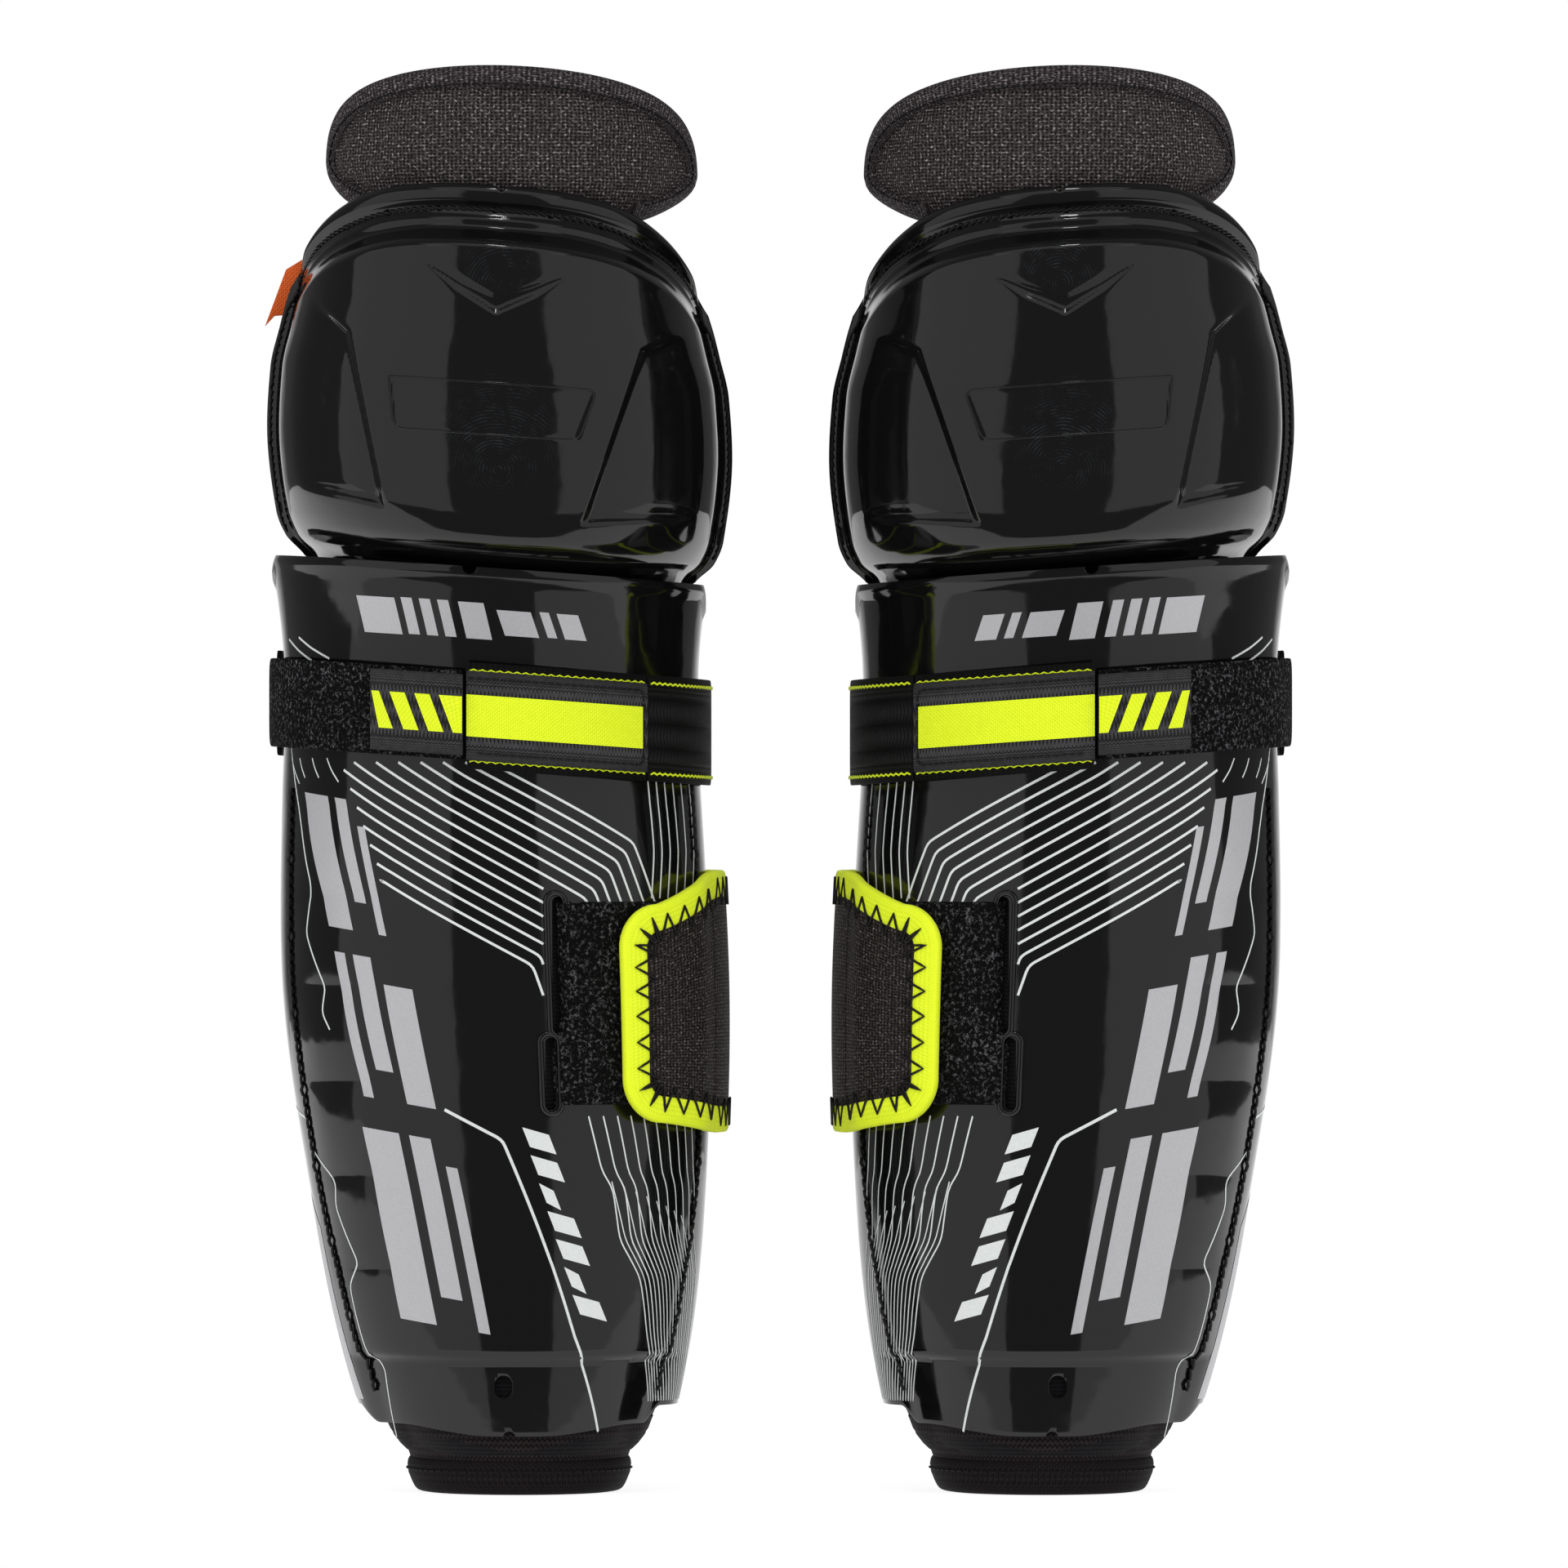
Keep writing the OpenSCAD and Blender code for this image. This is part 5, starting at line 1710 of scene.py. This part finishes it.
@dataclass
class CalfWrap:
    """The mesh wrap behind the calf, with a tab that closes on the loop patch."""

    form: ShinForm
    bench: Bench
    middle_z: float = 115.5
    tall: float = 62.0
    end_low: float = 27.6
    end_high: float = 21.6
    end_turn: float = 33.0
    fold_turn: float = 70.0
    anchor: tuple[float, float] = (256.0, 268.0)
    back: float = 46.0
    cloth: float = 2.2
    tape: float = 6.6
    proud: float = 0.3
    corner: float = 10.5
    patch_out: float = 1.9
    calf_radius: float = 50.9

    @property
    def turn_mm(self) -> float:
        """Length of one degree of turn at the calf."""
        return self.calf_radius * math.pi / 180

    def off(self, a: float) -> float:
        """Return how far the wrap's inner face stands off the shin."""
        hook = self.end_turn + (self.tape + 2) / self.turn_mm + 17
        sunk = mix(self.patch_out + 0.3, -2.35, ramp(a, 96, self.anchor[0] - 12))
        return sunk + 1.3 * (1 - ramp(a, hook, self.fold_turn))

    def half(self, a: float, sign: int) -> float:
        """Return how far the wrap reaches below (-1) or above (1) its middle at turn a."""
        end = self.end_low if sign < 0 else self.end_high
        return mix(end, self.tall / 2, ramp(a, self.end_turn, self.fold_turn + 8))

    def at(self, a: float, z: float, off: float) -> Vector:
        """Return a point on the wrap, standing off its inner face by off."""
        return self.form.at(a, z, self.off(a) + off, self.back)

    def panel(self, name: str, a0: float, a1: float, body: str, node: str) -> None:
        """Build one mesh panel, as tall as the binding leaves free.

        Args:
            name: The piece's name.
            a0: The turn at which it starts.
            a1: The turn at which it ends.
            body: The moving body it rides on; the tab's panel has rounded corners.
            node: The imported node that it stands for.
        """

        def where(s: float, t: float) -> Vector:
            a = mix(a0, a1, s)
            short = 0.0
            if body == "tab":
                gone = (a - a0) * self.turn_mm
                r = self.corner - self.tape
                short = r - math.sqrt(max(0.0, r * r - (r - min(r, gone)) ** 2))
            trim = self.tape - 0.8 + short
            z = self.middle_z + mix(trim - self.half(a, -1), self.half(a, 1) - trim, t)
            return self.at(a, z, self.cloth)

        length = (a1 - a0) * self.turn_mm
        cols = 40 if body == "tab" else 90
        mesh = settle(
            drape(cols, 36, where, (length, 50)), solid(self.cloth), sharp=60
        )
        self.bench.put(name, mesh, body, WING, [node], "mesh")

    def outline(self, t: float, inset: float) -> tuple[float, float]:
        """Return turn and height on the tab's outline, from the fold's foot round the free end."""
        end, r = self.end_turn, self.corner - inset
        sign = -1 if t < 0.5 else 1
        first = end + self.corner / self.turn_mm
        low = self.half(first, sign)
        straight = (self.fold_turn - first) * self.turn_mm
        arc = math.pi / 2 * self.corner
        rest = 2 * (low - self.corner)
        total = 2 * straight + 2 * arc + rest
        gone = min(t, 1 - t) * total
        if gone < straight:
            a = mix(self.fold_turn, first, gone / straight)
            spot = (a, -self.half(a, sign) + inset)
        elif gone < straight + arc:
            turn = (gone - straight) / arc * 90
            spot = (first - r * sind(turn) / self.turn_mm, -low + self.corner - r * cosd(turn))
        else:
            spot = (end + inset / self.turn_mm, -low + self.corner + gone - straight - arc)
        return spot if t < 0.5 else (spot[0], -spot[1])

    def tab_binding(self) -> None:
        """Fold the neon tape round the tab's edge and lock it with a zigzag."""

        def where(s: float, t: float) -> Vector:
            d, off = rounded(-t, self.tape, self.cloth + 2 * self.proud, 0.5)
            a, h = self.outline(s, self.tape / 2 + d)
            return self.at(a, self.middle_z + h, self.cloth / 2 + off)

        mesh = settle(tube(150, 20, where, (130, 16)), sharp=70)
        self.bench.put("tab_tape", mesh, "tab", NEON, ["tab_binding"], "tape")
        path = []
        count = 18
        for k in range(2 * count + 1):
            inset = 2.7 if k % 2 else self.tape + 1.9
            a, h = self.outline(0.012 + 0.976 * k / (2 * count), inset)
            path.append(self.at(a, self.middle_z + h, self.cloth + self.proud + (0.3 if k % 2 else 0.12)))
        fine = [a.lerp(b, f / 4) for a, b in zip(path, path[1:]) for f in range(4)] + [path[-1]]
        self.bench.put("tab_zigzag", threads([fine], 0.3), "tab", THREAD)

    def wing_binding(self) -> None:
        """Bind the wing's upper and lower edges."""
        a0, a1 = self.fold_turn + 0.35, self.anchor[0] - 0.35
        lines = []
        for word, sign in (("lower", -1), ("upper", 1)):
            def where(s: float, t: float, sign: int = sign) -> Vector:
                a = mix(a0, a1, s)
                d, off = rounded(-sign * t, self.tape, self.cloth + 2 * self.proud, 0.5)
                h = sign * (self.half(a, sign) - self.tape / 2 - d)
                return self.at(a, self.middle_z + h, self.cloth / 2 + off)

            mesh = settle(tube(110, 20, where, (165, 16)), sharp=70)
            self.bench.put(f"{word}_wing_tape", mesh, "wing", NEON, ["wing_binding"], "tape")
            for off in (self.cloth + self.proud + 0.12, -self.proud - 0.12):
                zig = []
                for k in range(67):
                    a = mix(a0 + 1, a1 - 1, k / 66)
                    inset = 1.7 if k % 2 else self.tape + 1.4
                    zig.append(self.at(a, self.middle_z + sign * (self.half(a, sign) - inset), off))
                lines.append([p.lerp(q, f / 3) for p, q in zip(zig, zig[1:]) for f in range(3)] + [zig[-1]])
        self.bench.put("wing_zigzag", threads(lines, 0.24), "wing", THREAD)

    def hook_and_anchor(self) -> None:
        """Build the hook panel behind the tab and the sewn anchor of the wing."""
        start = self.end_turn + (self.tape + 2) / self.turn_mm

        def hook(s: float, t: float) -> Vector:
            return self.form.at(mix(start, start + 17, s), mix(102, 129, t), self.patch_out + 1.3)

        mesh = settle(drape(20, 24, hook, (15, 27)), solid(0.95))
        self.bench.put("tab_hook_panel", mesh, "tab", HOOK, ["tab_hook"], "hook")

        def anchor(s: float, t: float) -> Vector:
            return self.form.at(mix(*self.anchor, s), mix(84.6, 146.4, t), -0.15, self.back)

        mesh = settle(drape(12, 40, anchor, (11, 62)), solid(2.1), sharp=60)
        self.bench.put("wing_anchor", mesh, "shins", WING, ["wrap_anchor"], "mesh")
        stitches = []
        for a in (259, 265):
            stitches += dashes(walk(lambda t, a=a: self.form.at(a, mix(86, 145, t), 0.05, self.back), 2.4))
        self.bench.put("anchor_stitches", threads(stitches, 0.25), "shins", THREAD)

    def build(self) -> None:
        """Build the whole wrap."""
        start = self.end_turn + self.tape / self.turn_mm - 0.8
        self.panel("tab_cloth", start, self.fold_turn, "tab", "calf_tab")
        self.panel("wing_cloth", self.fold_turn + 0.35, self.anchor[0] - 0.35, "wing", "calf_wing")
        self.tab_binding()
        self.wing_binding()
        self.hook_and_anchor()


# ---------------------------------------------------------------- the strap


@dataclass
class Strap:
    """The upper strap: a loop strap, a pull tab with its badge, and elastic round the calf."""

    bench: Bench
    middle_z: float = 182.5
    slant: float = 4.0
    lean: float = 2.1
    half: float = 50.48
    front: float = 49.7
    back: float = 50.0
    fold_turn: float = 45.65
    badge_turn: float = -5.57
    pull_turn: float = -29.58
    turn_gap: float = 0.34

    def at(self, a: float, h: float, off: float) -> Vector:
        """Return a point on the strap at turn a, a height h up its width and off its inner line."""
        x = -self.lean + (self.half + off) * sind(a)
        y = -((self.front if cosd(a) >= 0 else self.back) + off) * cosd(a)
        return Vector((x, y, self.middle_z - x * tand(self.slant) + h))

    def turn_at(self, x: float) -> float:
        """Return the turn at which the strap's front stands at x."""
        return math.degrees(math.asin((x + self.lean) / self.half))

    def band(
        self, a0: float, a1: float, inner: float, outer: float, tall: float, cols: int, soft: float = 0.3
    ) -> Mesh:
        """Return one layer of the strap.

        Args:
            a0: The turn at which it starts.
            a1: The turn at which it ends.
            inner: How far its inner face stands off the strap's line, in mm.
            outer: The same for its outer face.
            tall: Its width across the strap, in mm.
            cols: Number of faces along it.
            soft: How round its edges are: 1 is an ellipse.

        Returns:
            The closed band.
        """

        def where(s: float, t: float) -> Vector:
            h, off = rounded(-t, tall, outer - inner, soft)
            return self.at(mix(a0, a1, s), h, (inner + outer) / 2 + off)

        return settle(tube(cols, 32, where, ((a1 - a0) * self.half * math.pi / 180, 2 * tall + 3)), sharp=60)

    def film(self, corners: Spots, off: float) -> BMesh:
        """Return a thin woven figure from its corners (x, h), from the low left one round."""
        spots = [(self.turn_at(x), h) for x, h in corners]
        wide, high = abs(corners[1][0] - corners[0][0]), abs(corners[2][1] - corners[1][1])
        return quad(spots, (max(3, int(wide)), 10), lambda a, h: self.at(a, h, off), (wide, high))

    def place_films(self, name: str, parts: Sequence[BMesh], body: str, look: object) -> None:
        """Join thin figures and place them."""
        self.bench.put(name, settle(joined(parts), solid(0.12, 0.0)), body, look)

    def straps(self) -> None:
        """Build the loop strap and both lengths of elastic."""
        badge, fold, gap, clear = self.badge_turn, self.fold_turn, self.turn_gap, 1.2
        mesh = self.band(-100, badge - 1, 0.3, 2.3, 21, 80, 0.4)
        self.bench.put("loop_strap_pile", mesh, "shins", PILE, ["loop_strap"], "loop")
        mesh = self.band(fold + gap, 260 - gap, 0.3, 1.7, 25, 150)
        self.bench.put("elastic_loop", mesh, "shins", ELASTIC, ["elastic_back"], "elastic")
        mesh = self.band(badge + gap, fold - gap, 0.3, 1.7, 25, 50)
        self.bench.put("elastic_end", mesh, "strap", ELASTIC, ["elastic_front"], "elastic")
        for body, a0, a1 in (("strap", badge + 1, fold - clear), ("shins", fold + clear, 255)):
            lines = []
            for h in (-10.6, 10.6):
                zig = [self.at(mix(a0, a1, k / n), h + (0.22 if k % 2 else -0.22), 1.8)
                       for n in [max(20, int((a1 - a0) * 0.9))] for k in range(n + 1)]
                lines.append(zig)
            self.bench.put(f"elastic_neon_{body}", threads(lines, 0.24), body, NEON_PRINT)

    def badge(self) -> None:
        """Build the badge with its neon bar and sewn border."""
        mesh = self.band(self.badge_turn + 0.4, self.fold_turn - 2, 2.0, 3.75, 21, 50, 0.25)
        self.bench.put("badge_cloth", mesh, "strap", WEBBING, ["strap_badge"], "badge")
        bar = self.film([(-6.6, -4.9), (31.6, -4.9), (31.6, 4.9), (-6.6, 4.9)], 3.83)
        self.place_films("badge_bar", [bar], "strap", NEON_PRINT)
        start, end, up, off = -6.2, 31.8, 8.7, 3.85
        border = [
            *(self.at(self.turn_at(mix(start, end, t / 40)), up, off) for t in range(41)),
            *(self.at(self.turn_at(end), mix(up, -up, t / 18), off) for t in range(1, 19)),
            *(self.at(self.turn_at(mix(end, start, t / 40)), -up, off) for t in range(1, 41)),
        ]
        last = len(border) - 1
        line = walk(lambda t: border[min(last, round(t * last))], 1.9, last)
        self.bench.put("badge_stitches", threads(dashes(line, 0.72), 0.26), "strap", THREAD)

    def pull_tab(self) -> None:
        """Build the woven pull tab with its slanted neon figures and the hook behind it."""
        mesh = self.band(self.pull_turn, self.badge_turn - self.turn_gap, 3.9, 5.25, 19, 30, 0.25)
        self.bench.put("tab_webbing", mesh, "strap", WEBBING, ["pull_tab"], "webbing")
        mesh = self.band(self.pull_turn + 2, self.badge_turn - 3, 2.65, 3.55, 17, 20)
        self.bench.put("strap_hook_panel", mesh, "strap", HOOK, ["strap_hook"], "hook")
        lean, tall, start, end, parts = 1.5, 4.3, -26.7, -7.4, []
        for left, wide in ((-26.6, 3.0), (-21.3, 3.2), (-16.0, 3.2), (-10.8, 3.2)):
            whole = left < -12
            right = left + wide if whole else end - lean
            top_right = min(right - lean, end) if whole else end
            foot = [(max(left + lean, start), -tall), (right + lean, -tall)]
            parts.append(self.film([*foot, (top_right, tall), (max(left - lean, start), tall)], 5.33))
        self.place_films("tab_figures", parts, "strap", NEON_PRINT)

    def build(self) -> None:
        """Build the strap."""
        self.straps()
        self.badge()
        self.pull_tab()


# ---------------------------------------------------------------- the studio


@dataclass
class Studio:
    """White room, two tall soft boxes with a dark gap between them, and the camera."""

    frame_mm: float = 371.5
    away_mm: float = 3500.0
    middle_z: float = 166.9
    middle_x: float = 0.8

    def floor(self) -> None:
        """Lay the white floor, which keeps a soft shadow."""
        bm = bmesh.new()
        bmesh.ops.create_grid(bm, x_segments=1, y_segments=1, size=1)
        bmesh.ops.translate(bm, verts=bm.verts, vec=(0, 0.78, 0))
        mesh = bpy.data.meshes.new("floor")
        bm.to_mesh(mesh)
        bm.free()
        thing = in_scene("floor", mesh)
        mesh.materials.append(self.paper())

    def paper(self) -> bpy.types.Material:
        """Return the floor's white, which glows a little for the camera and in mirrors."""
        made, tree = blank("white studio floor")
        paper = add(tree, "BsdfDiffuse", Color=srgb("#f4f4f4")).outputs[0]
        glow = add(tree, "Emission", Color=(1, 1, 1, 1), Strength=1.1).outputs[0]
        ray = add(tree, "LightPath")
        direct = maths(tree, "MAXIMUM", ray.outputs["Is Camera Ray"], ray.outputs["Is Glossy Ray"])
        direct = maths(tree, "MAXIMUM", direct, ray.outputs["Is Transmission Ray"])
        share = maths(tree, "MULTIPLY", direct, 0.8)
        close(tree, add(tree, "MixShader", in0=share, in1=paper, in2=glow).outputs[0])
        return made

    def room(self) -> None:
        """Surround the scene with white that the camera and mirrors see, and dimmer light for the rest."""
        world = bpy.data.worlds.new("white room")
        bpy.context.scene.world = world
        world.use_nodes = True
        tree = world.node_tree
        tree.nodes.clear()
        ray = add(tree, "LightPath")
        spot = add(tree, "SeparateXYZ", Vector=add(tree, "TexCoord").outputs["Generated"])
        behind = stretch(tree, spot.outputs[1], 0.86, 0.985, 0.14)
        plain = maths(tree, "MAXIMUM", ray.outputs["Is Camera Ray"], ray.outputs["Is Transmission Ray"])
        seen_as = maths(tree, "MAXIMUM", plain, maths(tree, "MULTIPLY", ray.outputs["Is Glossy Ray"], behind))
        power = maths(tree, "MAXIMUM", seen_as, maths(tree, "MULTIPLY", ray.outputs["Is Diffuse Ray"], 0.95))
        back = add(tree, "Background", Color=(1, 1, 1, 1), Strength=power)
        add(tree, "OutputWorld", Surface=back.outputs[0])

    def lamp(
        self, name: str, place: tuple[float, float, float], size: tuple[float, float], watts: float
    ) -> None:
        """Hang one soft box, aimed at the middle of the pair.

        Args:
            name: Its name.
            place: Where it hangs, in metres.
            size: Its width and height, in metres.
            watts: Its power.
        """
        data = bpy.data.lights.new(name, "AREA")
        data.shape, data.size, data.size_y, data.energy = "RECTANGLE", size[0], size[1], watts
        thing = in_scene(name, data)
        thing.location = place
        aim = Vector((0, 0, self.middle_z / 1000)) - Vector(place)
        thing.rotation_euler = aim.to_track_quat("-Z", "Y").to_euler()

    def camera(self) -> None:
        """Set the camera level with the middle of the guards, far off with a long lens."""
        data = bpy.data.cameras.new("camera")
        data.lens = 36 * self.away_mm / self.frame_mm
        data.clip_end = 50
        thing = in_scene("camera", data)
        thing.location = (self.middle_x / 1000, -self.away_mm / 1000, self.middle_z / 1000)
        thing.rotation_euler = (math.radians(90), 0, 0)
        bpy.context.scene.camera = thing

    def build(self) -> None:
        """Build the whole studio."""
        bpy.context.scene.view_settings.view_transform = "Standard"
        self.camera()
        self.floor()
        self.room()
        self.lamp("left soft box", (-1.25, -0.95, 0.35), (1.9, 2.2), 7.6)
        self.lamp("right soft box", (1.25, -0.95, 0.35), (1.9, 2.2), 7.6)
        self.lamp("top soft box", (0, -1.15, 1.75), (2.2, 0.9), 3.4)
        self.lamp("small top lamp", (0.05, -1.0, 2.35), (0.24, 0.24), 2.6)


def main() -> None:
    """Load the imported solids, dress them and set the studio."""
    logging.basicConfig(level=logging.INFO, format="%(message)s")
    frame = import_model()
    LOG.info("%d packed nodes", len(frame["nodes"]))
    studio = Studio()
    studio.build()
    bench = Bench()
    shin = ShinForm()
    ShinShell(shin, bench).build()
    ShinLiner(shin, bench).build()
    KneeCap(CapForm(), bench).build()
    ThighPad(bench).build()
    CalfWrap(shin, bench).build()
    Strap(bench).build()
    LOG.info("%d pieces placed", bench.pieces)


if __name__ == "__main__":
    main()
